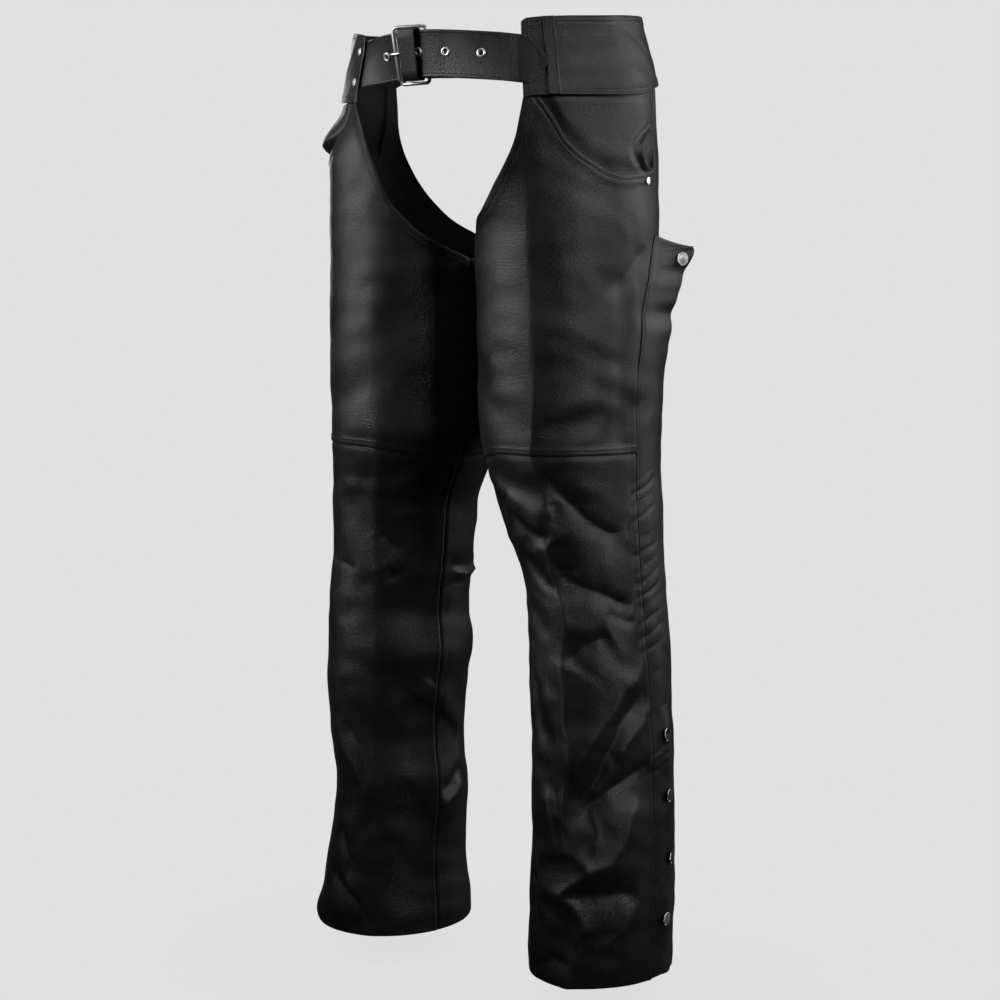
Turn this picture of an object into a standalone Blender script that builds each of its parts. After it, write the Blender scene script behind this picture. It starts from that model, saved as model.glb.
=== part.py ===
"""Leather riding chaps, hollow and posed as worn, with their own belt.

The frame is in metres with +Z up. The wearer faces -Y and the wearer's left is +X. The origin is the centre
of the waist, near the belt's mid height. An angle is in degrees: round a leg it is counted from the front (0)
to the outer side (90), the back (180) and the inner side (270 or -90), and round the waist from the front
towards the same side. A lift is a distance along the outward normal.

Each piece of leather starts as a flat slab, made from a grid, that a function bends to its place: the
slab's two directions run along the garment, and its thickness runs along the normal there.
"""

import math

import bmesh
import bpy
from mathutils import Matrix, Vector
from mathutils.bvhtree import BVHTree

COLLECTION = "leather_chaps"
SIDES = {"left": 1, "right": -1}

# Leather and seams.
LEATHER = 0.0016
YOKE_LEATHER = 0.0026
BELT_LEATHER = 0.0028
BUCKLE_LEATHER = 0.0024
KEEPER_LEATHER = 0.0013
SEAM_GAP = 0.0003
LAP = 0.011
EDGE_ROW = 0.013

# The yoke: half axes (width, depth) of its inner face at two heights, and its edges by angle round the waist.
YOKE_HIGH, YOKE_LOW = 0.050, -0.040
YOKE_HIGH_AXES = {"left": (0.1725, 0.1365), "right": (0.1650, 0.1295)}
YOKE_LOW_AXES = {"left": (0.1965, 0.1585), "right": (0.1815, 0.1435)}
YOKE_TOP_EDGE = {
    "left": (
        (40.3, 0.0385), (42.5, 0.0425), (50, 0.0445), (74, 0.0468), (94, 0.0492),
        (115, 0.0505), (140, 0.0485), (180, 0.0440),
    ),
    "right": (
        (31.5, 0.0290), (35, 0.0325), (60, 0.0375), (90, 0.0390),
        (115, 0.0405), (140, 0.0430), (180, 0.0440),
    ),
}
YOKE_BOTTOM_EDGE = {
    "left": (
        (40.3, -0.0425), (43, -0.0395), (50, -0.0385), (80, -0.0370), (92, -0.0345), (104, -0.0280),
        (115, -0.0240), (128, -0.0060), (150, 0.0010), (180, 0.0020),
    ),
    "right": (
        (31.5, -0.0425), (36, -0.0415), (60, -0.0400), (80, -0.0370), (92, -0.0340), (100, -0.0280),
        (109, -0.0160), (118, -0.0030), (135, 0.0015), (180, 0.0020),
    ),
}
PANEL_TUCK = 0.0005
PANEL_DROP = 0.0035

# The legs.
TUBE_TOP = {"left": -0.190, "right": -0.112}
WAIST_BLEND = -0.044
HEM = {"left": -1.0135, "right": -1.0055}
INSEAM = -73.0
OUTSEAM = 112.0
KNEE_SEAM = {"left": -0.4215, "right": -0.4255}
# How far the knee seam drops towards the inner side: angle, drop. It runs straight between these.
KNEE_DROP = (
    (-73, 0.0150), (-57, 0.0135), (-42, 0.0100), (-27, 0.0050), (-12, 0.0010), (0, 0.0),
    (134, 0.0), (164, 0.0100), (180, 0.0150), (287, 0.0150),
)

# Sections of each leg: height, its centre's distance out from the middle and back, half width, half depth.
SECTIONS = {
    "left": (
        (-1.030, 0.1450, 0.005, 0.0760, 0.0870),
        (-0.980, 0.1455, 0.005, 0.0772, 0.0880),
        (-0.875, 0.1493, 0.004, 0.0760, 0.0870),
        (-0.770, 0.1483, 0.004, 0.0750, 0.0860),
        (-0.680, 0.1462, 0.003, 0.0742, 0.0850),
        (-0.645, 0.1445, 0.003, 0.0752, 0.0858),
        (-0.600, 0.1418, 0.002, 0.0742, 0.0845),
        (-0.560, 0.1365, 0.001, 0.0758, 0.0845),
        (-0.500, 0.1230, 0.000, 0.0855, 0.0945),
        (-0.450, 0.1135, -0.001, 0.0910, 0.1010),
        (-0.400, 0.1068, -0.002, 0.0965, 0.1075),
        (-0.300, 0.1056, -0.003, 0.0972, 0.1090),
        (-0.190, 0.1035, -0.003, 0.0975, 0.1095),
        (-0.030, 0.1035, -0.003, 0.0975, 0.1095),
    ),
    "right": (
        (-1.030, 0.1480, 0.005, 0.0860, 0.0970),
        (-0.987, 0.1500, 0.005, 0.0860, 0.0970),
        (-0.937, 0.1480, 0.004, 0.0800, 0.0910),
        (-0.880, 0.1420, 0.004, 0.0755, 0.0860),
        (-0.830, 0.1380, 0.004, 0.0740, 0.0850),
        (-0.770, 0.1445, 0.004, 0.0752, 0.0860),
        (-0.710, 0.1430, 0.003, 0.0795, 0.0905),
        (-0.665, 0.1380, 0.003, 0.0812, 0.0920),
        (-0.620, 0.1390, 0.002, 0.0790, 0.0890),
        (-0.550, 0.1303, 0.001, 0.0796, 0.0888),
        (-0.500, 0.1280, 0.000, 0.0820, 0.0905),
        (-0.450, 0.1160, -0.001, 0.0890, 0.0990),
        (-0.400, 0.1068, -0.002, 0.0965, 0.1075),
        (-0.300, 0.1056, -0.003, 0.0972, 0.1090),
        (-0.190, 0.1035, -0.003, 0.0975, 0.1095),
        (-0.030, 0.1035, -0.003, 0.0975, 0.1095),
    ),
}

# The soft crease down the front of each leg: height, angle, how far it stands out.
FRONT_CREASE = {
    "left": (
        (-1.03, 11, 0.003), (-0.78, 10, 0.004), (-0.60, 8, 0.004),
        (-0.48, 13, 0.005), (-0.19, 12, 0.006), (-0.06, 13, 0.001),
    ),
    "right": (
        (-1.03, -18, 0.003), (-0.63, -20, 0.004), (-0.53, -18, 0.005),
        (-0.44, -12, 0.005), (-0.19, -9, 0.004), (-0.06, -8, 0.001),
    ),
}
CREASE_HALF_ANGLE = 17.0
CREASE_ROUNDING = 2.5

# Folds in the leather: angle and height of each end, half width, lift (a trough is negative).
FOLDS = {
    "left": (
        (14, -0.429, 46, -0.497, 0.013, -0.0050),
        (12, -0.503, 62, -0.535, 0.013, 0.0060),
        (14, -0.534, 66, -0.582, 0.013, -0.0065),
        (-29, -0.475, 9, -0.514, 0.012, -0.0050),
        (-30, -0.450, 4, -0.486, 0.012, 0.0040),
        (38, -0.618, 10, -0.650, 0.010, -0.0040),
        (62, -0.624, 13, -0.666, 0.012, 0.0060),
        (73, -0.655, 30, -0.735, 0.013, -0.0070),
        (30, -0.735, 9, -0.817, 0.013, -0.0060),
        (71, -0.696, 41, -0.751, 0.014, 0.0060),
        (71, -0.752, 36, -0.765, 0.010, -0.0055),
        (76, -0.782, 18, -0.848, 0.027, 0.0070),
        (4, -0.905, 67, -0.900, 0.015, -0.0070),
        (11, -0.938, 60, -0.934, 0.018, 0.0040),
        (65, -0.913, 42, -0.957, 0.010, -0.0040),
        (42, -0.957, 18, -0.972, 0.010, -0.0040),
        (-15, -0.985, 8, -0.990, 0.014, 0.0045),
        (-22, -0.780, 0, -0.885, 0.014, 0.0055),
        (-38, -0.650, -14, -0.730, 0.013, -0.0040),
        (-42, -0.865, -26, -0.930, 0.014, -0.0045),
    ),
    "right": (
        (-16, -0.518, -66, -0.585, 0.018, -0.0050),
        (30, -0.500, -14, -0.560, 0.014, 0.0040),
        (45, -0.590, 0, -0.640, 0.014, -0.0050),
        (-84, -0.728, -108, -0.756, 0.013, 0.0050),
        (-106, -0.846, -72, -0.866, 0.013, 0.0050),
        (30, -0.715, 20, -0.781, 0.014, 0.0060),
        (20, -0.781, -4, -0.834, 0.014, 0.0050),
        (44, -0.800, 8, -0.860, 0.014, -0.0060),
        (19, -0.876, -2, -0.931, 0.010, -0.0045),
        (32, -0.925, 2, -0.947, 0.010, -0.0055),
        (2, -0.947, -26, -0.993, 0.010, -0.0055),
        (-20, -0.690, -60, -0.745, 0.014, -0.0045),
        (-25, -0.820, -62, -0.880, 0.015, -0.0050),
        (-95, -0.583, -150, -0.588, 0.011, 0.0050),
        (-98, -0.563, -130, -0.567, 0.010, -0.0035),
        (-98, -0.605, -135, -0.608, 0.010, -0.0035),
        (40, -0.992, 62, -1.000, 0.018, 0.0050),
    ),
}
# Folds that both legs have at the back, with the same columns.
BACK_FOLDS = (
    (150, -0.250, 205, -0.285, 0.022, -0.0040),
    (222, -0.300, 168, -0.350, 0.022, -0.0040),
    (150, -0.480, 214, -0.497, 0.012, -0.0045),
    (146, -0.520, 205, -0.536, 0.012, -0.0055),
    (175, -0.560, 222, -0.548, 0.012, -0.0050),
    (148, -0.570, 190, -0.592, 0.013, -0.0050),
    (222, -0.640, 186, -0.715, 0.014, -0.0055),
    (146, -0.655, 176, -0.720, 0.014, -0.0055),
    (150, -0.790, 200, -0.850, 0.015, -0.0060),
    (222, -0.810, 196, -0.890, 0.014, -0.0050),
    (148, -0.895, 182, -0.945, 0.014, -0.0050),
)
FOLD_RADIUS = 0.085

# The open edges of the panels by angle: where the front panel's edge runs from the yoke down to the inseam,
# the pocket's mouth, and where the back panel's edge runs from the yoke round the back of the thigh.
FRONT_EDGE = {
    "left": (
        (-73, -0.214), (-51, -0.197), (-38, -0.182), (-28, -0.168), (-19, -0.158),
        (-5, -0.127), (3, -0.101), (7, -0.080), (9.5, -0.055), (12, -0.028),
    ),
    "right": (
        (-73, -0.214), (-51, -0.197), (-38, -0.183), (-28, -0.166), (-20, -0.149),
        (-13, -0.120), (-7, -0.091), (-4, -0.068), (1, -0.048), (5, -0.030),
    ),
}
POCKET_MOUTH = {
    "left": (
        (14.5, -0.028), (19, -0.041), (27, -0.064), (33, -0.083), (42, -0.099),
        (51, -0.109), (61, -0.118), (73, -0.122), (92, -0.120), (112, -0.116),
    ),
    "right": (
        (8, -0.030), (13, -0.042), (20, -0.062), (27, -0.076), (36, -0.088),
        (46, -0.097), (56, -0.103), (70, -0.107), (92, -0.108), (112, -0.106),
    ),
}
BACK_EDGE = (
    (121.5, -0.014), (123.5, -0.045), (125, -0.062), (128.5, -0.080), (134, -0.102), (141, -0.126),
    (150.5, -0.150), (164, -0.174), (176, -0.186), (200, -0.202), (240, -0.212), (287, -0.214),
)
POCKET_HEM_LIFT = 0.0012
FACING_BELOW_MOUTH = 0.014
FACING_DEPTH = 0.0027
FACING_RISE = 0.025
FACING_BULGE = {"left": (96, 0.0018, 12), "right": (55, 0.0170, 24)}

# The flap over each outer zip: where its sewn edge runs, how it stands off the leg, and its width.
FLAP_LINE = (
    (-1.030, 84.0), (-0.800, 83.0), (-0.708, 80.5), (-0.676, 79.5), (-0.617, 77.5), (-0.550, 78.0),
    (-0.490, 79.5), (-0.420, 82.0), (-0.348, 83.5), (-0.303, 88.0), (-0.259, 93.0), (-0.219, 101.0),
    (-0.186, 108.0),
)
FLAP_STAND_OFF = (
    (-0.400, 0.0), (-0.365, 0.15), (-0.330, 0.37), (-0.290, 0.56), (-0.260, 1.0), (-0.180, 1.0),
)
FLAP_KICK = ((-0.262, 0.0), (-0.240, 0.006), (-0.219, 0.015), (-0.205, 0.024), (-0.180, 0.028))
FLAP_WIDTH = ((-1.030, 0.060), (-0.450, 0.060), (-0.300, 0.061), (-0.180, 0.062))
FLAP_TOP = -0.186
FLAP_TOP_SLOPE = 0.015
FLAP_ABOVE_HEM = 0.003
FLAP_GAP = 0.0011
FLAP_UPPER_ROWS = (-0.392, -0.352, -0.316, -0.284, -0.258, -0.236, -0.212, FLAP_TOP)

# Snaps and rivets: angle and height on the leg, and half outlines (radius, height) of their caps.
SNAP_PLACES = ((97, -0.736), (102, -0.806), (105, -0.878), (97, -0.946))
FLAP_SNAP = (0.80, -0.203)
POCKET_RIVET = {"left": (99, -0.128), "right": (99, -0.115)}
SNAP_PROFILE = (
    (0.0, 0.0019), (0.0040, 0.0017), (0.0064, 0.0011), (0.0074, 0.0003), (0.0072, 0.0), (0.0, 0.0),
)
RIVET_PROFILE = ((0.0, 0.0018), (0.0024, 0.0015), (0.0040, 0.0006), (0.0044, 0.0), (0.0, 0.0))
CAP_GAP = 0.0002

# The belt, by angle round the waist (positive towards the wearer's left). Its lean is over the yoke's slope.
BELT_HALF_HEIGHT = 0.0254
BELT_RADIUS = 0.180
BELT_MIDDLE = (
    (-41, -0.0016), (-35, -0.0010), (-20, 0.0020), (-12, 0.0042), (0, 0.0064), (6, 0.0067), (12, 0.0061),
    (26, 0.0036), (33, 0.0020), (43, -0.0012), (50, -0.0020),
)
BELT_LEAN = ((-31, 0.0), (-26, 0.12), (-20, 0.28), (-12, 0.42), (0, 0.36), (20, 0.16), (36, 0.0))
TIP_LIFT = (
    (-41, -0.0004), (-30, -0.0006), (-20, -0.0022), (-11, -0.0034), (-6.4, -0.0034), (-3.6, -0.0020),
    (0, 0.0012), (7, 0.0012), (14, 0.0), (33, 0.0), (37, 0.0027), (40, 0.0058), (46.3, 0.0058),
    (48.8, 0.0079),
)
TIP_COLUMNS = (
    -50, -46, -42, -38, -34.5, -31, -28, -24, -20, -17.5, -16.4, -14.6, -12.8, -10.6, -8.4, -6.4, -4.2, -2.2,
    -1.0, 0.2, 0.9, 2.7, 5, 8, 11.9, 13.7, 17, 21, 25.2, 27.0, 30, 33, 35, 37, 38.7, 40, 43, 46.3, 48.8, 50.6,
)
TIP_SHOULDER, TIP_END = 43.0, 50.6
TIP_BLUNT = 0.0016
TIP_SLOT = (-4.2, 0.2)
EYELET_CELLS = (-16.4, 0.9, 11.9, 25.2)
EYELET_ANGLES = (-15.5, 1.8, 12.8, 26.1)
STRAP_HOLE_HALF, STRAP_HOLE_UP = 0.0028, 0.0022
BUCKLE_STRAP_ANGLES = (50, 46.3, 43, 40, 38.7, 37, 35, 33, 30, 27, 25.2, 21, 17, 13.7, 11.9, 8, 6.2)
BEND, SLOT_REACH = 10.0, 2.6
BUCKLE_STRAP_LIFT = ((33, -0.0035), (39.5, -0.0006), (60, -0.0004))
HEEL_BAR_ANGLE, HEEL_BAR_LIFT = 3.6, -0.0084
WIRE_RADIUS = 0.0020
ROLLER_ANGLE, ROLLER_LIFT = -8.4, 0.0006
ROLLER_RADIUS, ROLLER_BORE, ROLLER_HALF = 0.0034, 0.0023, 0.0256
FRAME_HALF_HEIGHT, FRAME_CORNER = 0.0299, 0.004
PRONG_RADIUS = 0.0015
PRONG_PATH = (
    (2.0, -0.0038), (0.0, -0.0036), (-1.8, -0.0014), (-3.2, 0.0014), (-4.6, 0.0036), (-6.2, 0.0052),
    (-8.4, 0.0059), (-10.2, 0.0053), (-11.3, 0.0040),
)
KEEPER_ANGLES = (-5.0, 1.6)
KEEPER_FRONT = (0.0077, 0.0052)
KEEPER_BACK = -0.0066
KEEPER_HALF_HEIGHT = 0.0262
KEEPER_CORNER = 0.0012
EYELET_PROFILE = (
    (0.0020, -0.0027), (0.0026, -0.0027), (0.0026, 0.0), (0.0050, 0.0), (0.0051, 0.0005),
    (0.0042, 0.0010), (0.0030, 0.0009), (0.0020, 0.0003),
)
LOOP_ANGLES = (48.6, 53.2)
LOOP_LEATHER = 0.0017
STRAP_RIVET_PLACES = ((35.2, 0.0136), (35.2, -0.0200))
YOKE_COLUMNS = {
    "left": (
        40.3, 43, 46, 49, 52, 56, 60, 65, 71, 77, 83, 90,
        97, 104, 111, 118, 126, 134, 142, 150, 158, 166, 173, 179.95,
    ),
    "right": (
        31.5, 34.5, 38, 42, 46, 50, 55, 60, 66, 72, 78, 84, 91,
        98, 104, 111, 118, 126, 134, 142, 150, 158, 166, 173, 179.95,
    ),
}

# How finely the slabs are divided.
THIGH_ROWS, SHIN_ROWS, BACK_ROWS, FACING_ROWS, YOKE_ROWS, FLAP_COLUMNS = 8, 24, 7, 5, 2, 5
FRONT_COLUMNS = {
    "left": (-73, -57, -42, -27, -19, -12, -5, 3, 9.5, 12, 14.5, 19, 27, 34, 42, 51, 61, 73, 86, 99, 112),
    "right": (-73, -57, -42, -27, -19, -12, -7, -4, 0, 5, 8, 13, 20, 28, 36, 46, 58, 71, 85, 99, 112),
}
BACK_COLUMNS = (112, 117, 121.5, 124, 128, 134, 141, 151, 164, 180, 200, 222, 244, 266, 287)
SHIN_COLUMNS = (-73, -57, -42, -27, -12, 0, 13, 27, 43, 58, 69, 79, 93, 112)
CALF_COLUMNS = (112, 123, 134, 141, 151, 164, 180, 196, 213, 231, 249, 268, 287)
FACING_COLUMNS = {
    "left": (17, 22, 29, 37, 46, 56, 66, 76, 86, 94, 103, 112),
    "right": (11, 16, 23, 31, 40, 48, 56, 64, 74, 86, 99, 112),
}


def lerp(low, high, share):
    return low + (high - low) * share


def clamp(value, low=0.0, high=1.0):
    return max(low, min(high, value))


def smooth(share):
    share = clamp(share)
    return share * share * (3 - 2 * share)


def from_table(rows, key):
    """The columns after the first, read at this key by a smooth curve through the rows."""
    if key <= rows[0][0]:
        return rows[0][1:]
    if key >= rows[-1][0]:
        return rows[-1][1:]
    place = max(i for i in range(len(rows) - 1) if rows[i][0] <= key)
    low, high = rows[place], rows[place + 1]
    span = high[0] - low[0]
    share = (key - low[0]) / span
    square, cube = share * share, share**3
    found = []
    for column in range(1, len(low)):
        rise = high[column] - low[column]
        slopes = []
        for end, other in ((place, place - 1), (place + 1, place + 2)):
            slope = rise
            if 0 <= other < len(rows):
                step = rows[end][0] - rows[other][0]
                outer = (rows[end][column] - rows[other][column]) / step * span
                slope = 2 * outer * rise / (outer + rise) if outer * rise > 0 else 0.0
            slopes.append(slope)
        found.append(
            low[column] * (2 * cube - 3 * square + 1)
            + slopes[0] * (cube - 2 * square + share)
            + high[column] * (3 * square - 2 * cube)
            + slopes[1] * (cube - square)
        )
    return tuple(found)


def read(rows, key):
    return from_table(rows, key)[0]


def waist_axes(side, height):
    share = (YOKE_HIGH - height) / (YOKE_HIGH - YOKE_LOW)
    return [lerp(high, low, share) for high, low in zip(YOKE_HIGH_AXES[side], YOKE_LOW_AXES[side])]


def waist_point(side, degrees, height, lift=0.0):
    """A point of the yoke's inner face, moved out by lift."""
    wide, deep = waist_axes(side, height)
    angle = math.radians(degrees)
    normal = Vector((math.sin(angle) / wide, -math.cos(angle) / deep, 0)).normalized()
    point = Vector((wide * math.sin(angle), -deep * math.cos(angle), height)) + normal * lift
    return Vector((SIDES[side] * point.x, point.y, point.z))


def radius_to_waist(side, angle, height, out, back):
    """The distance from a leg's centre to the panels' ellipse inside the yoke, in this direction."""
    tuck = PANEL_TUCK + PANEL_DROP * smooth((-0.028 - height) / 0.014)
    wide, deep = (half - tuck for half in waist_axes(side, max(height, WAIST_BLEND)))
    toward = (math.sin(angle) / wide, -math.cos(angle) / deep)
    start = (out / wide, back / deep)
    a = toward[0] ** 2 + toward[1] ** 2
    b = toward[0] * start[0] + toward[1] * start[1]
    c = start[0] ** 2 + start[1] ** 2 - 1
    return (-b + math.sqrt(b * b - a * c)) / a


def turned(degrees):
    """The same angle, within half a turn of the front."""
    return (degrees + 180) % 360 - 180


def fold_lift(side, degrees, height):
    total = 0.0
    for angle_a, height_a, angle_b, height_b, half_width, lift in FOLDS[side] + BACK_FOLDS:
        along = (math.radians(angle_b - angle_a) * FOLD_RADIUS, height_b - height_a)
        offset = (math.radians(turned(degrees - angle_a)) * FOLD_RADIUS, height - height_a)
        length = math.hypot(*along)
        unit = (along[0] / length, along[1] / length)
        way = offset[0] * unit[0] + offset[1] * unit[1]
        off = offset[0] * unit[1] - offset[1] * unit[0]
        beyond = max(0.0, -way, way - length)
        if beyond > 3 * half_width or abs(off) > 3 * half_width:
            continue
        total += lift * math.exp(-(off / half_width) ** 2 - (beyond / (1.2 * half_width)) ** 2)
    return total


def crease_lift(side, degrees, height):
    middle, stand = from_table(FRONT_CREASE[side], height)
    away = turned(degrees - middle)
    rounded = math.hypot(away, CREASE_ROUNDING) - CREASE_ROUNDING
    return stand * math.exp(-rounded / CREASE_HALF_ANGLE)


def leg_surface(side, degrees, height):
    """A point of the outer face of a leg's panels."""
    out, back, half_width, half_depth = from_table(SECTIONS[side], height)
    angle = math.radians(degrees)
    sine, cosine = math.sin(angle), math.cos(angle)
    radius = 1 / math.sqrt((sine / half_width) ** 2 + (cosine / half_depth) ** 2)
    radius += crease_lift(side, degrees, height) + fold_lift(side, degrees, height)
    if height > TUBE_TOP[side]:
        share = smooth((height - TUBE_TOP[side]) / (WAIST_BLEND - TUBE_TOP[side]))
        radius = lerp(radius, radius_to_waist(side, angle, height, out, back), share)
    return Vector((SIDES[side] * (out + radius * sine), back - radius * cosine, height))


def leg_normal(side, degrees, height):
    step_round, step_up = 1.0, 0.003
    on, back = (leg_surface(side, degrees + step, height) for step in (step_round, -step_round))
    up = leg_surface(side, degrees, height + step_up) - leg_surface(side, degrees, height - step_up)
    return ((on - back).cross(up) * SIDES[side]).normalized()


def leg_point(side, degrees, height, lift=0.0):
    return leg_surface(side, degrees, height) + leg_normal(side, degrees, height) * lift


def flap_angle(height):
    return read(FLAP_LINE, height)


def knee_height(side, degrees):
    for (low, low_drop), (high, high_drop) in zip(KNEE_DROP, KNEE_DROP[1:]):
        if degrees <= high:
            break
    return KNEE_SEAM[side] - lerp(low_drop, high_drop, (degrees - low) / (high - low))


def waist_angle(side, degrees):
    """The angle round the waist of the point of a leg's panel that meets the yoke."""
    point = leg_surface(side, degrees, YOKE_LOW)
    wide, deep = waist_axes(side, YOKE_LOW)
    return math.degrees(math.atan2(abs(point.x) / wide, -point.y / deep))


def under_yoke(side, degrees):
    return read(YOKE_BOTTOM_EDGE[side], waist_angle(side, degrees)) + LAP


def front_top(side, degrees):
    if degrees <= FRONT_EDGE[side][-1][0]:
        return read(FRONT_EDGE[side], degrees)
    if degrees < POCKET_MOUTH[side][0][0]:
        return FRONT_EDGE[side][-1][1]
    return read(POCKET_MOUTH[side], degrees)


def back_top(side, degrees):
    if degrees < BACK_EDGE[0][0]:
        return under_yoke(side, degrees)
    return read(BACK_EDGE, degrees)


def mouth_lift(side, degrees, height):
    """The turned edge of the pocket's mouth stands a little off the hip."""
    below = POCKET_MOUTH[side][0][0]
    if degrees < below:
        return 0.0
    near = 1 - smooth((read(POCKET_MOUTH[side], degrees) - height) / 0.020)
    return POCKET_HEM_LIFT * near * smooth((degrees - below) / 25)


def inside_seams(degrees, low, high):
    """The same angle, half a seam gap inside the panel's two long seams."""
    half_gap = math.degrees(SEAM_GAP / 2 / FOLD_RADIUS)
    return lerp(low + half_gap, high - half_gap, (degrees - low) / (high - low))


def up_to_edge(low, high, share):
    """The height at this share: 1 is EDGE_ROW under the piece's upper edge, and 2 is that edge."""
    return lerp(low, high - EDGE_ROW, share) if share < 1 else lerp(high - EDGE_ROW, high, share - 1)


def front_panel(side, column, height):
    return leg_point(side, inside_seams(column, INSEAM, OUTSEAM), height, mouth_lift(side, column, height))


def back_panel(side, column, height):
    return leg_point(side, inside_seams(column, OUTSEAM, INSEAM + 360), height)


def facing_point(side, column, share):
    low = read(POCKET_MOUTH[side], column) - FACING_BELOW_MOUTH
    high = under_yoke(side, column)
    height = up_to_edge(low, high, share)
    above = height - read(POCKET_MOUTH[side], column)
    lift = -FACING_DEPTH * (1 - smooth(above / FACING_RISE))
    middle, bulge, spread = FACING_BULGE[side]
    below = high - LAP - height
    along = smooth((above - 0.004) / 0.010) * smooth(below / 0.008) * lerp(0.55, 1.0, clamp(below / 0.040))
    lift += bulge * math.exp(-(((column - middle) / spread) ** 2)) * along
    return leg_point(side, inside_seams(column, INSEAM, OUTSEAM), height, lift)


def flap_point(side, across, height):
    """A point of the zip flap's inner face: across runs from its sewn edge (0) to its free edge (1)."""
    height -= FLAP_TOP_SLOPE * across * smooth((height - FLAP_TOP + 0.075) / 0.075)
    width = read(FLAP_WIDTH, height) * across
    sewn = flap_angle(height)
    close = leg_point(side, sewn + math.degrees(width / FOLD_RADIUS), height, FLAP_GAP)
    start = leg_surface(side, sewn, height)
    normal = leg_normal(side, sewn, height)
    along = (leg_surface(side, sewn + 1, height) - start).normalized()
    free = start + along * width + normal * (FLAP_GAP + read(FLAP_KICK, height) * across**2)
    return close.lerp(free, read(FLAP_STAND_OFF, height) * smooth(across * 3))


def shin_heights(side, count):
    """The heights of the rows from the hem to the knee seam, where the seam is level."""
    return stops(count, HEM[side], KNEE_SEAM[side] - SEAM_GAP / 2)


def yoke_point(side, degrees, share):
    height = lerp(read(YOKE_BOTTOM_EDGE[side], degrees), read(YOKE_TOP_EDGE[side], degrees), share)
    return waist_point(side, degrees, height)


def belt_point(degrees, up, lift):
    """A point of the belt: angle, height over its middle, and lift over the yoke's inner face."""
    share = smooth((degrees + 41) / 82)
    height = read(BELT_MIDDLE, degrees) + up
    axes = zip(waist_axes("right", height), waist_axes("left", height))
    wide, deep = (lerp(right, left, share) for right, left in axes)
    angle = math.radians(degrees)
    normal = Vector((math.sin(angle) / wide, -math.cos(angle) / deep, 0)).normalized()
    place = Vector((wide * math.sin(angle), -deep * math.cos(angle), height))
    return place + normal * (lift + read(BELT_LEAN, degrees) * up)


def belt_frame(degrees, lift, up=0.0):
    """A matrix at this point of the belt whose Z points outward and whose Y points up the belt."""
    here = belt_point(degrees, up, lift)
    rise = (belt_point(degrees, up + 0.005, lift) - belt_point(degrees, up - 0.005, lift)).normalized()
    along = (belt_point(degrees + 1, up, lift) - belt_point(degrees - 1, up, lift)).normalized()
    return frame_at(here, along.cross(rise), rise)


def frame_at(place, outward, up):
    across = up.cross(outward).normalized()
    matrix = Matrix((across, outward.normalized().cross(across), outward.normalized())).transposed()
    return Matrix.Translation(place) @ matrix.to_4x4()


def tip_point(column, share):
    """The outer strap runs from inside the right yoke to its point over the left yoke."""
    narrow = clamp((column - TIP_SHOULDER) / (TIP_END - TIP_SHOULDER))
    half = lerp(BELT_HALF_HEIGHT, TIP_BLUNT, narrow)
    return belt_point(column, lerp(-half, half, share), read(TIP_LIFT, column))


def buckle_strap_point(column, share):
    """The under strap. Its column counts degrees past the heel bar: it comes from inside the left yoke
    (below 0), goes round the bar (0 to BEND) and back (above BEND)."""
    up = lerp(-BELT_HALF_HEIGHT, BELT_HALF_HEIGHT, share)
    turn = BUCKLE_LEATHER + WIRE_RADIUS + 0.0005
    if column <= 0:
        degrees = HEEL_BAR_ANGLE - column
        return belt_point(degrees, up, read(BUCKLE_STRAP_LIFT, degrees))
    if column >= BEND:
        return belt_point(HEEL_BAR_ANGLE + column - BEND, up, HEEL_BAR_LIFT - turn)
    angle = math.pi * column / BEND
    aside = math.degrees(turn * math.sin(angle) / BELT_RADIUS)
    return belt_point(HEEL_BAR_ANGLE - aside, up, HEEL_BAR_LIFT + turn * math.cos(angle))


def keeper_outline(front):
    """The corners of the keeper's inner face round the strap, from the middle of the back, as (up, lift)."""
    half, cut, back = KEEPER_HALF_HEIGHT, KEEPER_CORNER, KEEPER_BACK
    return (
        (0.0002, back), (half - cut, back), (half, back + cut), (half, front - cut), (half - cut, front),
        (0.0, front), (cut - half, front), (-half, front - cut), (-half, back + cut), (cut - half, back),
        (-0.0002, back),
    )


def keeper_point(column, share):
    degrees = lerp(*KEEPER_ANGLES, share)
    outline = keeper_outline(lerp(*KEEPER_FRONT, share))
    place = clamp(column, 0, len(outline) - 1)
    low = min(int(place), len(outline) - 2)
    up, lift = (lerp(a, b, place - low) for a, b in zip(outline[low], outline[low + 1]))
    return belt_point(degrees, up, lift)


def make_material(name, colour, roughness, metallic=0.0):
    material = bpy.data.materials.new(name)
    material.use_nodes = True
    shader = material.node_tree.nodes["Principled BSDF"]
    shader.inputs["Base Color"].default_value = (*colour, 1.0)
    shader.inputs["Roughness"].default_value = roughness
    shader.inputs["Metallic"].default_value = metallic
    material.diffuse_color = (*colour, 1.0)
    return material


def keep(bm, name, material, round_it=True):
    """Makes the mesh an object of the garment."""
    bmesh.ops.recalc_face_normals(bm, faces=bm.faces)
    if bm.calc_volume(signed=True) < 0:
        bmesh.ops.reverse_faces(bm, faces=bm.faces)
    mesh = bpy.data.meshes.new(name)
    bm.to_mesh(mesh)
    bm.free()
    mesh.materials.append(material)
    if round_it:
        mesh.shade_smooth()
        mesh.set_sharp_from_angle(angle=math.radians(40))
    piece = bpy.data.objects.new(name, mesh)
    bpy.data.collections[COLLECTION].objects.link(piece)
    return piece


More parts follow.
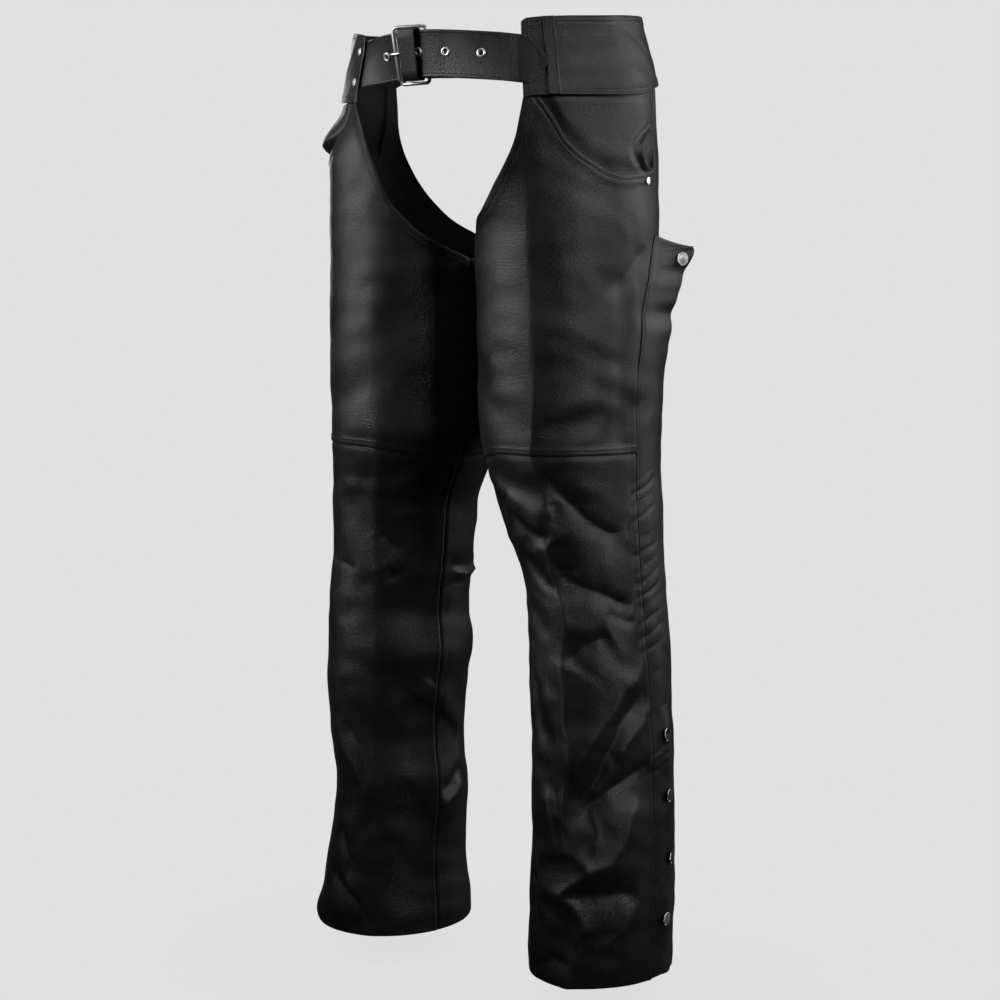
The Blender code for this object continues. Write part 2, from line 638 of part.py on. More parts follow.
def slab(name, columns, shares, thickness, place, material, outward=True, holes=()):
    """A flat slab, bent so that place(column, share) gives one face; its thickness is inside that (or
    outside, if negative). The normal there is found from nearby points, so slabs of one surface agree at
    their seams. holes names the cells that are left out."""
    wide, tall = len(columns) - 1, len(shares) - 1
    bm = bmesh.new()
    bmesh.ops.create_grid(bm, x_segments=wide, y_segments=tall, size=0.5)
    middles = [(face, face.calc_center_median()) for face in bm.faces]
    cells = {(int((at.x + 0.5) * wide), int((at.y + 0.5) * tall)): face for face, at in middles}
    bmesh.ops.delete(bm, geom=[cells[cell] for cell in holes], context="FACES")
    bmesh.ops.solidify(bm, geom=bm.faces[:], thickness=0.01)
    low = min(vert.co.z for vert in bm.verts)
    step_round = (columns[-1] - columns[0]) * 0.002
    for vert in bm.verts:
        column = columns[round((vert.co.x + 0.5) * wide)]
        share = shares[round((vert.co.y + 0.5) * tall)]
        along = place(column + step_round, share) - place(column - step_round, share)
        rise = place(column, share + 0.01) - place(column, share - 0.01)
        normal = along.cross(rise).normalized() * (1 if outward else -1)
        vert.co = place(column, share) - (normal * thickness if vert.co.z < low + 0.005 else Vector())
    return keep(bm, name, material)


def stops(count, low=0.0, high=1.0):
    return [lerp(low, high, i / count) for i in range(count + 1)]


def strap_shares():
    """Shares up a strap; its middle row takes the holes."""
    tall = 2 * BELT_HALF_HEIGHT
    middle, across = 0.5 + STRAP_HOLE_UP / tall, STRAP_HOLE_HALF / tall
    return (0.0, middle - across, middle + across, 1.0)


def turned_piece(name, profile, matrix, material, steps=12, ring=False):
    """A round piece: this half outline, run down its outer side, is turned round its own Z axis."""
    mesh = bpy.data.meshes.new(name)
    edges = [(i, i + 1) for i in range(len(profile) - 1)]
    if ring:
        edges.append((len(profile) - 1, 0))
    mesh.from_pydata([(x, 0, z) for x, z in profile], edges, [])
    mesh.materials.append(material)
    piece = bpy.data.objects.new(name, mesh)
    turn = piece.modifiers.new("turn", "SCREW")
    turn.steps = turn.render_steps = steps
    turn.use_merge_vertices = not ring
    turn.merge_threshold = 0.00001
    turn.use_smooth_shade = True
    turn.use_normal_flip = ring and profile[1][0] > profile[0][0]
    piece.matrix_world = matrix
    bpy.data.collections[COLLECTION].objects.link(piece)
    return piece


def seated(names, matrix, radius):
    """This frame moved along its Z, so that a cap of this radius just clears the pieces of these names."""
    outward = matrix.col[2].xyz
    highest = -1.0
    for name in names:
        mesh = bpy.data.objects[name].data
        faces = [face.vertices for face in mesh.polygons]
        tree = BVHTree.FromPolygons([vert.co for vert in mesh.vertices], faces)
        for ring in (0.0, 0.5, 0.8, 1.0):
            for turn in range(16):
                angle = math.tau * turn / 16
                aside = Vector((math.cos(angle), math.sin(angle), 0)) * ring * radius
                start = matrix @ (aside + Vector((0, 0, 0.02)))
                hit = tree.ray_cast(start, -outward, 0.04)[0]
                if hit:
                    highest = max(highest, (hit - matrix.translation).dot(outward))
    return Matrix.Translation(outward * (highest + CAP_GAP)) @ matrix


def rod(name, points, radius, material, cyclic=False, sides=1):
    """A round rod along these points."""
    curve = bpy.data.curves.new(name, "CURVE")
    curve.dimensions = "3D"
    curve.bevel_depth = radius
    curve.bevel_resolution = sides
    curve.use_fill_caps = not cyclic
    spline = curve.splines.new("POLY")
    spline.points.add(len(points) - 1)
    for spot, point in zip(spline.points, points):
        spot.co = (*point, 1)
    spline.use_cyclic_u = cyclic
    curve.materials.append(material)
    piece = bpy.data.objects.new(name, curve)
    bpy.data.collections[COLLECTION].objects.link(piece)
    return piece


def make_leg(side, leather, steel):
    outward = SIDES[side] > 0
    hem = HEM[side]
    half_gap = SEAM_GAP / 2

    def knee(column):
        return knee_height(side, column)

    def panel(name, columns, rows, place, thickness=LEATHER):
        slab(f"{name}_{side}", columns, rows, thickness, place, leather, outward)

    panel("thigh_front", FRONT_COLUMNS[side], (*stops(THIGH_ROWS), 2.0), lambda column, share: front_panel(
        side, column, up_to_edge(knee(column) + half_gap, front_top(side, column), share)
    ))
    panel("shin_front", SHIN_COLUMNS, stops(SHIN_ROWS), lambda column, share: front_panel(
        side, column, lerp(hem, knee(column) - half_gap, share)
    ))
    panel("thigh_back", BACK_COLUMNS, (*stops(BACK_ROWS), 2.0), lambda column, share: back_panel(
        side, column, up_to_edge(knee(column) + 2 * half_gap, back_top(side, column), share)
    ))
    panel("calf_back", CALF_COLUMNS, stops(SHIN_ROWS), lambda column, share: back_panel(
        side, column, lerp(hem, knee(column) - 2 * half_gap, share)
    ))
    facing_rows = (*stops(FACING_ROWS), 2.0)
    panel("hip_facing", FACING_COLUMNS[side], facing_rows, lambda column, share: facing_point(
        side, column, share
    ))
    flap_rows = (hem + FLAP_ABOVE_HEM, *shin_heights(side, SHIN_ROWS)[1:], *FLAP_UPPER_ROWS)
    panel("zip_flap", stops(FLAP_COLUMNS), flap_rows, lambda across, height: flap_point(
        side, across, height
    ), -LEATHER)
    panel("yoke", YOKE_COLUMNS[side], stops(YOKE_ROWS), lambda degrees, share: yoke_point(
        side, degrees, share
    ), -YOKE_LEATHER)

    flap = f"zip_flap_{side}"
    for number, (degrees, height) in enumerate(SNAP_PLACES, 1):
        normal = leg_normal(side, degrees, height)
        frame = frame_at(leg_point(side, degrees, height), normal, Vector((0, 0, 1)))
        turned_piece(f"snap_{number}_{side}", SNAP_PROFILE, seated([flap], frame, SNAP_PROFILE[3][0]), steel)
    across, height = FLAP_SNAP
    spot = flap_point(side, across, height)
    along = flap_point(side, across + 0.1, height) - flap_point(side, across - 0.1, height)
    rise = flap_point(side, across, height + 0.005) - flap_point(side, across, height - 0.005)
    outside = along.cross(rise) * SIDES[side]
    frame = frame_at(spot, outside, Vector((0, 0, 1)))
    turned_piece(f"snap_5_{side}", SNAP_PROFILE, seated([flap], frame, SNAP_PROFILE[3][0]), steel)
    degrees, height = POCKET_RIVET[side]
    frame = frame_at(leg_point(side, degrees, height), leg_normal(side, degrees, height), Vector((0, 0, 1)))
    seat = seated([f"thigh_front_{side}"], frame, RIVET_PROFILE[3][0])
    turned_piece(f"pocket_rivet_{side}", RIVET_PROFILE, seat, steel, steps=12)


def make_belt(leather, steel):
    eyelet_cells = {(TIP_COLUMNS.index(low), 1) for low in EYELET_CELLS}
    slot_low, slot_high = (TIP_COLUMNS.index(end) for end in TIP_SLOT)
    slot = {(column, 1) for column in range(slot_low, slot_high)}
    holes = eyelet_cells | slot
    slab("belt_tip_strap", TIP_COLUMNS, strap_shares(), BELT_LEATHER, tip_point, leather, True, holes)

    bend = [BEND * part for part in (0, 0.17, 0.33, 0.5, 0.67, 0.83, 1)]
    inner_end = (BEND + SLOT_REACH, BEND + 6, BEND + 10)
    columns = (*(HEEL_BAR_ANGLE - degrees for degrees in BUCKLE_STRAP_ANGLES), *bend, *inner_end)
    first = len(BUCKLE_STRAP_ANGLES) - 1
    slot = {(column, 1) for column in range(first, first + 8)}
    shares = strap_shares()
    slab("belt_buckle_strap", columns, shares, BUCKLE_LEATHER, buckle_strap_point, leather, False, slot)
    keeper = stops(10, 0, 10)
    slab("belt_keeper", keeper, stops(3), -KEEPER_LEATHER, keeper_point, leather)

    low, high = LOOP_ANGLES
    slab("belt_loop_left", stops(2, low, high), stops(4), LOOP_LEATHER, lambda degrees, share: waist_point(
        "left",
        degrees,
        lerp(read(YOKE_BOTTOM_EDGE["left"], degrees) + 0.001, read(YOKE_TOP_EDGE["left"], degrees), share),
        YOKE_LEATHER + SEAM_GAP + LOOP_LEATHER,
    ), leather)

    tall, cut = FRAME_HALF_HEIGHT, FRAME_CORNER
    slide = (HEEL_BAR_ANGLE - ROLLER_ANGLE) * 0.12
    rim = []
    for sign in (1, -1):
        spots = (
            (ROLLER_ANGLE, tall - cut, ROLLER_LIFT),
            (ROLLER_ANGLE + 0.3 * slide, tall - 0.3 * cut, ROLLER_LIFT),
            (ROLLER_ANGLE + slide, tall, lerp(ROLLER_LIFT, HEEL_BAR_LIFT, 0.1)),
            (HEEL_BAR_ANGLE - slide, tall, lerp(ROLLER_LIFT, HEEL_BAR_LIFT, 0.9)),
            (HEEL_BAR_ANGLE - 0.3 * slide, tall - 0.3 * cut, HEEL_BAR_LIFT),
            (HEEL_BAR_ANGLE, tall - cut, HEEL_BAR_LIFT),
        )
        rim += [belt_point(degrees, sign * up, lift) for degrees, up, lift in spots[::sign]]
    rod("buckle_frame", rim, WIRE_RADIUS, steel, cyclic=True, sides=2)

    foot, head = (belt_point(ROLLER_ANGLE, up, ROLLER_LIFT) for up in (-ROLLER_HALF, ROLLER_HALF))
    length = (head - foot).length
    profile = (
        (ROLLER_BORE, 0.0), (ROLLER_BORE, length), (ROLLER_RADIUS - 0.0004, length),
        (ROLLER_RADIUS, length - 0.0006), (ROLLER_RADIUS, 0.0006), (ROLLER_RADIUS - 0.0004, 0.0),
    )
    matrix = frame_at(foot, head - foot, Vector((0, 1, 0)))
    turned_piece("buckle_roller", profile, matrix, steel, ring=True)

    eye = WIRE_RADIUS + PRONG_RADIUS + SEAM_GAP
    path = []
    for turn in (235, 195, 155, 115, 75, 40, 10):
        aside = math.degrees(eye * math.sin(math.radians(turn)) / BELT_RADIUS)
        lift = HEEL_BAR_LIFT + eye * math.cos(math.radians(turn))
        path.append(belt_point(HEEL_BAR_ANGLE + aside, STRAP_HOLE_UP, lift))
    path += [belt_point(degrees, STRAP_HOLE_UP, lift) for degrees, lift in PRONG_PATH]
    rod("buckle_prong", path, PRONG_RADIUS, steel, sides=1)

    for number, degrees in enumerate(EYELET_ANGLES, 1):
        frame = belt_frame(degrees, read(TIP_LIFT, degrees), STRAP_HOLE_UP)
        seat = seated(["belt_tip_strap"], frame, EYELET_PROFILE[4][0])
        turned_piece(f"eyelet_{number}", EYELET_PROFILE, seat, steel, 12, True)
    for number, (degrees, height) in enumerate(STRAP_RIVET_PLACES, 1):
        spot = waist_point("right", degrees, height)
        outward = (waist_point("right", degrees, height, 0.01) - spot).normalized()
        seat = seated(["yoke_right"], frame_at(spot, outward, Vector((0, 0, 1))), RIVET_PROFILE[3][0])
        turned_piece(f"strap_rivet_{number}", RIVET_PROFILE, seat, steel, steps=12)


def main():
    for old in list(bpy.data.objects):
        bpy.data.objects.remove(old)
    bpy.context.scene.collection.children.link(bpy.data.collections.new(COLLECTION))
    leather = make_material("black_cow_leather", (0.012, 0.012, 0.013), 0.5)
    steel = make_material("bright_nickel", (0.62, 0.61, 0.59), 0.25, 1.0)
    for side in SIDES:
        make_leg(side, leather, steel)
    make_belt(leather, steel)


main()
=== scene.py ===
# %% [markdown]
# # Leather riding chaps, worn
# A pair of chaps is a set of cowhide panels sewn into two open-seated leg tubes that hang from a waist yoke.
# Each panel here is a sheet: a flat grid, laid on a surface worked out from the garment's own sizes, creased,
# and then given the thickness of the hide. The solid model already holds the same panels with their largest
# folds. This script lays finer ones over them, and adds sewing, grain and metal.

# %% Load the solid model
import math

import bmesh
import bpy
import numpy as np
from mathutils import Matrix, Vector
from mathutils.bvhtree import BVHTree


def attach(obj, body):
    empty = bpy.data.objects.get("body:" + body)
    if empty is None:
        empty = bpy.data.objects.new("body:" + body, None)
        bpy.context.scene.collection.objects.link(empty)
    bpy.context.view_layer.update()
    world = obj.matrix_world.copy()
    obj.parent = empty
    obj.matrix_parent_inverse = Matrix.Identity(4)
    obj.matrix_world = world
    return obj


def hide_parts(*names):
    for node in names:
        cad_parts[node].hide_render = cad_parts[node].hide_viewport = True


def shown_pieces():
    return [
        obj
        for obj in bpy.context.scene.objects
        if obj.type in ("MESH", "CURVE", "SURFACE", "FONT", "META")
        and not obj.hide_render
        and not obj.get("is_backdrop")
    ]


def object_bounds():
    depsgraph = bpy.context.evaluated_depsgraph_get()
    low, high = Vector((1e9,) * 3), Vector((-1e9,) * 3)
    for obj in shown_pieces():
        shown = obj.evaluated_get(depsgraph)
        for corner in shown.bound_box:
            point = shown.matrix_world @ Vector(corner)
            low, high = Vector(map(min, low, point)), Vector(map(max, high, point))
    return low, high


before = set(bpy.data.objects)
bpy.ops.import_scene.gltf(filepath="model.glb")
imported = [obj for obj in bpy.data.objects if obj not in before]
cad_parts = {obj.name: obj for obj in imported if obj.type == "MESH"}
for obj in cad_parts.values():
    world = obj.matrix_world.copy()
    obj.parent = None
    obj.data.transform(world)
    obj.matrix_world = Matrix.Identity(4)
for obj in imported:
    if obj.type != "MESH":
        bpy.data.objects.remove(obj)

solid_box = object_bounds()
print("solid model, metres:", solid_box)

# %% [markdown]
# ## Camera, light and floor
# The garment is seen from its left front, at hip height, with a long lens that keeps the legs straight. Black
# leather shows its form by what it reflects, so soft lights hang high on the left and the right, a weak one
# stands low on the left, and the middle is left darker: faces that tip up or sideways shine, and each fold
# has a pale side and a dark one. One light overhead and two behind bring out the top and the edges.

# %% Camera
def add_object(name, data):
    thing = bpy.data.objects.new(name, data)
    bpy.context.scene.collection.objects.link(thing)
    return thing


def add_primitive(name, operator, **settings):
    """Adds a primitive with nothing else selected, and names it."""
    bpy.ops.object.select_all(action="DESELECT")
    operator(**settings)
    piece = bpy.context.object
    piece.name = piece.data.name = name
    return piece


def point_at(thing, place, target):
    thing.location = place
    thing.rotation_euler = (Vector(target) - Vector(place)).to_track_quat("-Z", "Y").to_euler()


lens = bpy.data.cameras.new("long_lens")
lens.lens, lens.sensor_width = 86.4, 36.0
camera = add_object("camera", lens)
point_at(camera, (1.609, -2.202, -0.138), (0.0061, 0.0044, -0.49))
bpy.context.scene.camera = camera
bpy.context.scene.view_settings.view_transform = "Standard"


# %% Colours and material nodes
def colour(code, alpha=1.0):
    """An sRGB hex colour as the linear numbers that a shader takes."""
    parts = [int(code[i : i + 2], 16) / 255 for i in (1, 3, 5)]
    return (*(part / 12.92 if part <= 0.04045 else ((part + 0.055) / 1.055) ** 2.4 for part in parts), alpha)


def add_node(material, kind, links=(), **settings):
    """Adds a node. settings are its properties or its inputs' values; links are (input, node, output)."""
    tree = material.node_tree
    node = tree.nodes.new(kind)
    for name, value in settings.items():
        if name in node.bl_rna.properties:
            setattr(node, name, value)
        else:
            node.inputs[name.replace("_", " ")].default_value = value
    for name, source, output in links:
        tree.links.new(source.outputs[output], node.inputs[name])
    return node


def new_material(name, **finish):
    material = bpy.data.materials.new(name)
    material.use_nodes = True
    shader = material.node_tree.nodes["Principled BSDF"]
    for socket, value in finish.items():
        shader.inputs[socket.replace("_", " ")].default_value = value
    return material, shader


# %% Lights and floor
def soft_light(name, place, target, width, height, power, spread=180):
    lamp = bpy.data.lights.new(name, "AREA")
    lamp.shape, lamp.size, lamp.size_y, lamp.energy = "RECTANGLE", width, height, power
    lamp.spread = math.radians(spread)
    point_at(add_object(name, lamp), place, target)


# name, place, target, width, height, watts, spread in degrees
soft_light("high_light_left", (-1.95, -1.80, 0.68), (0, 0, -0.05), 1.6, 0.8, 3.7, 34)
soft_light("low_light_left", (-1.95, -1.80, 0.15), (-0.22, 0, -0.50), 0.8, 0.5, 0.36, 16)
soft_light("high_light_right", (2.70, -0.56, 0.72), (0.1, 0, -0.50), 1.0, 0.8, 2.4, 40)
soft_light("overhead_light", (0.2, -0.5, 2.4), (0, 0, -0.4), 1.8, 1.6, 12)
soft_light("back_light_left", (-2.3, 1.9, 0.5), (0, 0, -0.4), 1.0, 1.8, 30)
soft_light("back_light_right", (1.9, 2.5, 0.5), (0, 0, -0.4), 1.0, 1.8, 30)

# SHADE is the colour of the painted contact shadow on the floor.
PALE, SHADE, DIM = colour("#e1e1e1"), colour("#d9d9d9"), 0.055


def seen_or_lit(tree, ends, seen, lit):
    """Wires a surface that the camera sees as one shader and that the object is lit by as another."""
    ray, mix = tree.nodes.new("ShaderNodeLightPath"), tree.nodes.new("ShaderNodeMixShader")
    tree.links.new(ray.outputs["Is Camera Ray"], mix.inputs[0])
    tree.links.new(lit.outputs[0], mix.inputs[1])
    tree.links.new(seen.outputs[0], mix.inputs[2])
    tree.links.new(mix.outputs[0], ends.inputs["Surface"])


world = bpy.data.worlds.new("pale_room")
bpy.context.scene.world = world
world.use_nodes = True
seen = world.node_tree.nodes["Background"]
seen.inputs["Color"].default_value = PALE
lit = world.node_tree.nodes.new("ShaderNodeBackground")
lit.inputs["Color"].default_value, lit.inputs["Strength"].default_value = PALE, DIM
seen_or_lit(world.node_tree, world.node_tree.nodes["World Output"], seen, lit)

FLOOR_UNDER_HEM, SHADOW_REACH = 0.030, 0.22
floor_height = solid_box[0][2] - FLOOR_UNDER_HEM
floor = add_primitive("pale_floor", bpy.ops.mesh.primitive_plane_add, size=400, location=(0, 0, floor_height))
floor_paint, dull = new_material("pale_matt_floor", Base_Color=colour("#2c2c2c"), Roughness=0.9)
# The floor that the camera sees glows an even pale grey with a painted contact shadow: ambient occlusion
# within SHADOW_REACH darkens the glow from PALE towards SHADE near the garment. The object is lit by a dull
# dark floor instead.
near = add_node(floor_paint, "ShaderNodeAmbientOcclusion", Distance=SHADOW_REACH, samples=8)
tone = add_node(floor_paint, "ShaderNodeMix", [("Factor", near, "AO")], data_type="RGBA", A=SHADE, B=PALE)
floor_glow_with_painted_shadow = add_node(floor_paint, "ShaderNodeEmission", [("Color", tone, "Result")])
seen_or_lit(floor_paint.node_tree, floor_paint.node_tree.nodes["Material Output"], floor_glow_with_painted_shadow, dull)
floor.data.materials.append(floor_paint)
floor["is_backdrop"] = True
print("camera, six lights and floor are in")

# %% [markdown]
# ## The shape that the leather lies on
# Each leg is a tube of oval sections whose place and size come from a short table, read through a smooth
# curve. Near the waist the tube blends into the larger oval inside the yoke. An angle runs round a leg from
# the front (0) over the outer side (90) to the back (180) and the inner side (270).

# %% Sizes of the legs and the yoke, in metres and degrees
SIDES = {"left": 1.0, "right": -1.0}
LEATHER, YOKE_LEATHER = 0.0016, 0.0026
SEAM_GAP, LAP = 0.0003, 0.011
HEM = {"left": -1.0135, "right": -1.0055}
INSEAM, OUTSEAM = -73.0, 112.0
KNEE_SEAM = {"left": -0.4215, "right": -0.4255}
TUBE_TOP = {"left": -0.190, "right": -0.112}
WAIST_BLEND = -0.044
PANEL_TUCK, PANEL_DROP = 0.0005, 0.0035
FLAT_RADIUS = 0.085

YOKE_HIGH, YOKE_LOW = 0.050, -0.040
YOKE_HIGH_AXES = {"left": (0.1725, 0.1365), "right": (0.1650, 0.1295)}
YOKE_LOW_AXES = {"left": (0.1965, 0.1585), "right": (0.1815, 0.1435)}

# height, centre's distance out and back, half width, half depth
SECTIONS = {
    "left": (
        (-1.030, 0.1450, 0.005, 0.0760, 0.0870), (-0.980, 0.1455, 0.005, 0.0772, 0.0880),
        (-0.875, 0.1493, 0.004, 0.0760, 0.0870), (-0.770, 0.1483, 0.004, 0.0750, 0.0860),
        (-0.680, 0.1462, 0.003, 0.0742, 0.0850), (-0.645, 0.1445, 0.003, 0.0752, 0.0858),
        (-0.600, 0.1418, 0.002, 0.0742, 0.0845), (-0.560, 0.1365, 0.001, 0.0758, 0.0845),
        (-0.500, 0.1230, 0.000, 0.0855, 0.0945), (-0.450, 0.1135, -0.001, 0.0910, 0.1010),
        (-0.400, 0.1068, -0.002, 0.0965, 0.1075), (-0.300, 0.1056, -0.003, 0.0972, 0.1090),
        (-0.190, 0.1035, -0.003, 0.0975, 0.1095), (-0.030, 0.1035, -0.003, 0.0975, 0.1095),
    ),
    "right": (
        (-1.030, 0.1480, 0.005, 0.0860, 0.0970), (-0.987, 0.1500, 0.005, 0.0860, 0.0970),
        (-0.937, 0.1480, 0.004, 0.0800, 0.0910), (-0.880, 0.1420, 0.004, 0.0755, 0.0860),
        (-0.830, 0.1380, 0.004, 0.0740, 0.0850), (-0.770, 0.1445, 0.004, 0.0752, 0.0860),
        (-0.710, 0.1430, 0.003, 0.0795, 0.0905), (-0.665, 0.1380, 0.003, 0.0812, 0.0920),
        (-0.620, 0.1390, 0.002, 0.0790, 0.0890), (-0.550, 0.1303, 0.001, 0.0796, 0.0888),
        (-0.500, 0.1280, 0.000, 0.0820, 0.0905), (-0.450, 0.1160, -0.001, 0.0890, 0.0990),
        (-0.400, 0.1068, -0.002, 0.0965, 0.1075), (-0.300, 0.1056, -0.003, 0.0972, 0.1090),
        (-0.190, 0.1035, -0.003, 0.0975, 0.1095), (-0.030, 0.1035, -0.003, 0.0975, 0.1095),
    ),
}

# angle round the waist, height
YOKE_TOP_EDGE = {
    "left": (
        (40.3, 0.0385), (42.5, 0.0425), (50, 0.0445), (74, 0.0468), (94, 0.0492),
        (115, 0.0505), (140, 0.0485), (180, 0.0440),
    ),
    "right": (
        (31.5, 0.0290), (35, 0.0325), (60, 0.0375), (90, 0.0390), (115, 0.0405), (140, 0.0430), (180, 0.0440),
    ),
}
YOKE_BOTTOM_EDGE = {
    "left": (
        (40.3, -0.0425), (43, -0.0395), (50, -0.0385), (80, -0.0370), (92, -0.0345), (104, -0.0280),
        (115, -0.0240), (128, -0.0060), (150, 0.0010), (180, 0.0020),
    ),
    "right": (
        (31.5, -0.0425), (36, -0.0415), (60, -0.0400), (80, -0.0370), (92, -0.0340), (100, -0.0280),
        (109, -0.0160), (118, -0.0030), (135, 0.0015), (180, 0.0020),
    ),
}

# The open edges of the panels: angle round the leg, height
FRONT_EDGE = {
    "left": (
        (-73, -0.214), (-51, -0.197), (-38, -0.182), (-28, -0.168), (-19, -0.158),
        (-5, -0.127), (3, -0.101), (7, -0.080), (9.5, -0.055), (12, -0.028),
    ),
    "right": (
        (-73, -0.214), (-51, -0.197), (-38, -0.183), (-28, -0.166), (-20, -0.149),
        (-13, -0.120), (-7, -0.091), (-4, -0.068), (1, -0.048), (5, -0.030),
    ),
}
POCKET_MOUTH = {
    "left": (
        (14.5, -0.028), (19, -0.041), (27, -0.064), (33, -0.083), (42, -0.099),
        (51, -0.109), (61, -0.118), (73, -0.122), (92, -0.120), (112, -0.116),
    ),
    "right": (
        (8, -0.030), (13, -0.042), (20, -0.062), (27, -0.076), (36, -0.088),
        (46, -0.097), (56, -0.103), (70, -0.107), (92, -0.108), (112, -0.106),
    ),
}
BACK_EDGE = (
    (121.5, -0.014), (123.5, -0.045), (125, -0.062), (128.5, -0.080), (134, -0.102), (141, -0.126),
    (150.5, -0.150), (164, -0.174), (176, -0.186), (200, -0.202), (240, -0.212), (287, -0.214),
)
KNEE_DROP = (
    (-73, 0.0150), (-57, 0.0135), (-42, 0.0100), (-27, 0.0050), (-12, 0.0010), (0, 0.0),
    (134, 0.0), (164, 0.0100), (180, 0.0150), (287, 0.0150),
)


# %% Smooth curves through short tables
def curve(rows):
    """A function that reads the columns after the first by a smooth curve through the rows, for whole arrays
    of keys. It never swings past the rows."""
    table = np.array(rows, float)
    keys, values = table[:, 0], table[:, 1:]
    spans = np.diff(keys)
    rises = np.diff(values, axis=0) / spans[:, None]
    slopes = np.zeros_like(values)
    slopes[0], slopes[-1] = rises[0], rises[-1]
    before, after = rises[:-1], rises[1:]
    same_way = before * after > 0
    slopes[1:-1] = np.where(same_way, 2 * before * after / np.where(same_way, before + after, 1.0), 0.0)

    def at(key):
        key = np.clip(np.asarray(key, float), keys[0], keys[-1])
        place = np.clip(np.searchsorted(keys, key, side="right") - 1, 0, len(spans) - 1)
        span = spans[place][..., None]
        share = ((key - keys[place]))[..., None] / span
        found = (
            values[place] * (1 + 2 * share) * (1 - share) ** 2
            + values[place + 1] * share**2 * (3 - 2 * share)
            + span * slopes[place] * share * (1 - share) ** 2
            - span * slopes[place + 1] * share**2 * (1 - share)
        )
        return found[..., 0] if values.shape[1] == 1 else np.moveaxis(found, -1, 0)

    return at


def smooth(share):
    share = np.clip(share, 0.0, 1.0)
    return share * share * (3 - 2 * share)


def bump(offset, half_width):
    return np.exp(-((offset / half_width) ** 2))


def turned(degrees):
    """The same angle, within half a turn of the front."""
    return (degrees + 180) % 360 - 180


def curves(tables):
    return {side: curve(rows) for side, rows in tables.items()}


section, yoke_top, yoke_bottom = curves(SECTIONS), curves(YOKE_TOP_EDGE), curves(YOKE_BOTTOM_EDGE)
front_edge, pocket_mouth, back_edge = curves(FRONT_EDGE), curves(POCKET_MOUTH), curve(BACK_EDGE)


def mean_radius(side, height):
    return 0.5 * (section[side](height)[2] + section[side](height)[3])


print("hem ovals, half width and depth:", {s: section[s](-1.0).round(4)[2:].tolist() for s in SIDES})

# %% [markdown]
# ## Folds
# Leather of this weight doesn't drape like cloth. It breaks at the knee into a few slanting troughs with a
# rolled-up lip on each side, hangs in long shallow hollows below, and keeps a soft crease down the front. A
# row for each fold gives its two ends, half its width and how far it rises. Sines that run in different
# directions make the paths wander and the flat parts a little uneven, so no two folds run alike.

# %% The folds, one row each
# angle and height of one end, angle and height of the other, half width, lift (a trough is negative)
FOLDS = {
    "left": (
        (-30, -0.450, 4, -0.486, 0.012, 0.0030), (-38, -0.650, -14, -0.730, 0.013, -0.0040),
        (-42, -0.865, -26, -0.930, 0.014, -0.0045), (71, -0.245, 69, -0.405, 0.010, -0.0022),
        (90, -0.262, 78, -0.318, 0.012, -0.0016), (50, -0.375, 28, -0.392, 0.012, -0.0024),
        (84, -0.372, 60, -0.392, 0.014, -0.0016), (-40, -0.330, -12, -0.372, 0.016, -0.0016),
    ),
    "right": (
        (30, -0.500, -14, -0.560, 0.016, 0.0007), (-84, -0.728, -108, -0.756, 0.013, 0.0025),
        (-106, -0.846, -72, -0.866, 0.013, 0.0012), (-20, -0.690, -60, -0.745, 0.016, -0.0010),
        (-25, -0.820, -62, -0.880, 0.017, -0.0010), (40, -0.992, 62, -1.000, 0.018, 0.0050),
        (-44, -0.250, -16, -0.310, 0.018, -0.0020),
    ),
}
# A trough's low lips: height against the trough's depth, distance and width against its half width
LIP_HEIGHT, LIP_PLACE, LIP_WIDTH = 0.22, 1.75, 0.75
# Both legs have these behind the knee and on the calf.
BACK_FOLDS = (
    (150, -0.250, 205, -0.285, 0.022, -0.0040), (222, -0.300, 168, -0.350, 0.022, -0.0040),
    (150, -0.480, 214, -0.497, 0.012, -0.0045), (146, -0.520, 205, -0.536, 0.012, -0.0055),
    (175, -0.560, 222, -0.548, 0.012, -0.0050), (148, -0.570, 190, -0.592, 0.013, -0.0050),
    (222, -0.640, 186, -0.715, 0.014, -0.0055), (146, -0.655, 176, -0.720, 0.014, -0.0055),
    (150, -0.790, 200, -0.850, 0.015, -0.0060), (222, -0.810, 196, -0.890, 0.014, -0.0050),
    (148, -0.895, 182, -0.945, 0.014, -0.0050),
)
# Short creases that break the larger folds up.
CREASES = {
    "left": (
        (-18, -0.540, 0, -0.560, 0.008, -0.0018), (-40, -0.520, -12, -0.505, 0.008, 0.0014),
        (-38, -0.580, -8, -0.610, 0.010, -0.0016), (-30, -0.660, -6, -0.690, 0.009, 0.0012),
        (-45, -0.745, -18, -0.770, 0.010, -0.0016), (-30, -0.905, -6, -0.925, 0.009, -0.0016),
        (58, -0.352, 72, -0.362, 0.012, -0.0014), (18, -0.225, 44, -0.200, 0.018, -0.0008),
    ),
    "right": (
        (-30, -0.452, 4, -0.462, 0.009, -0.0012), (10, -0.625, -20, -0.650, 0.012, -0.0005),
        (14, -0.688, -12, -0.700, 0.012, 0.0004), (-10, -0.880, -40, -0.905, 0.012, -0.0006),
        (-36, -0.930, -64, -0.955, 0.012, 0.0005), (-20, -0.340, 14, -0.372, 0.018, -0.0014),
    ),
}
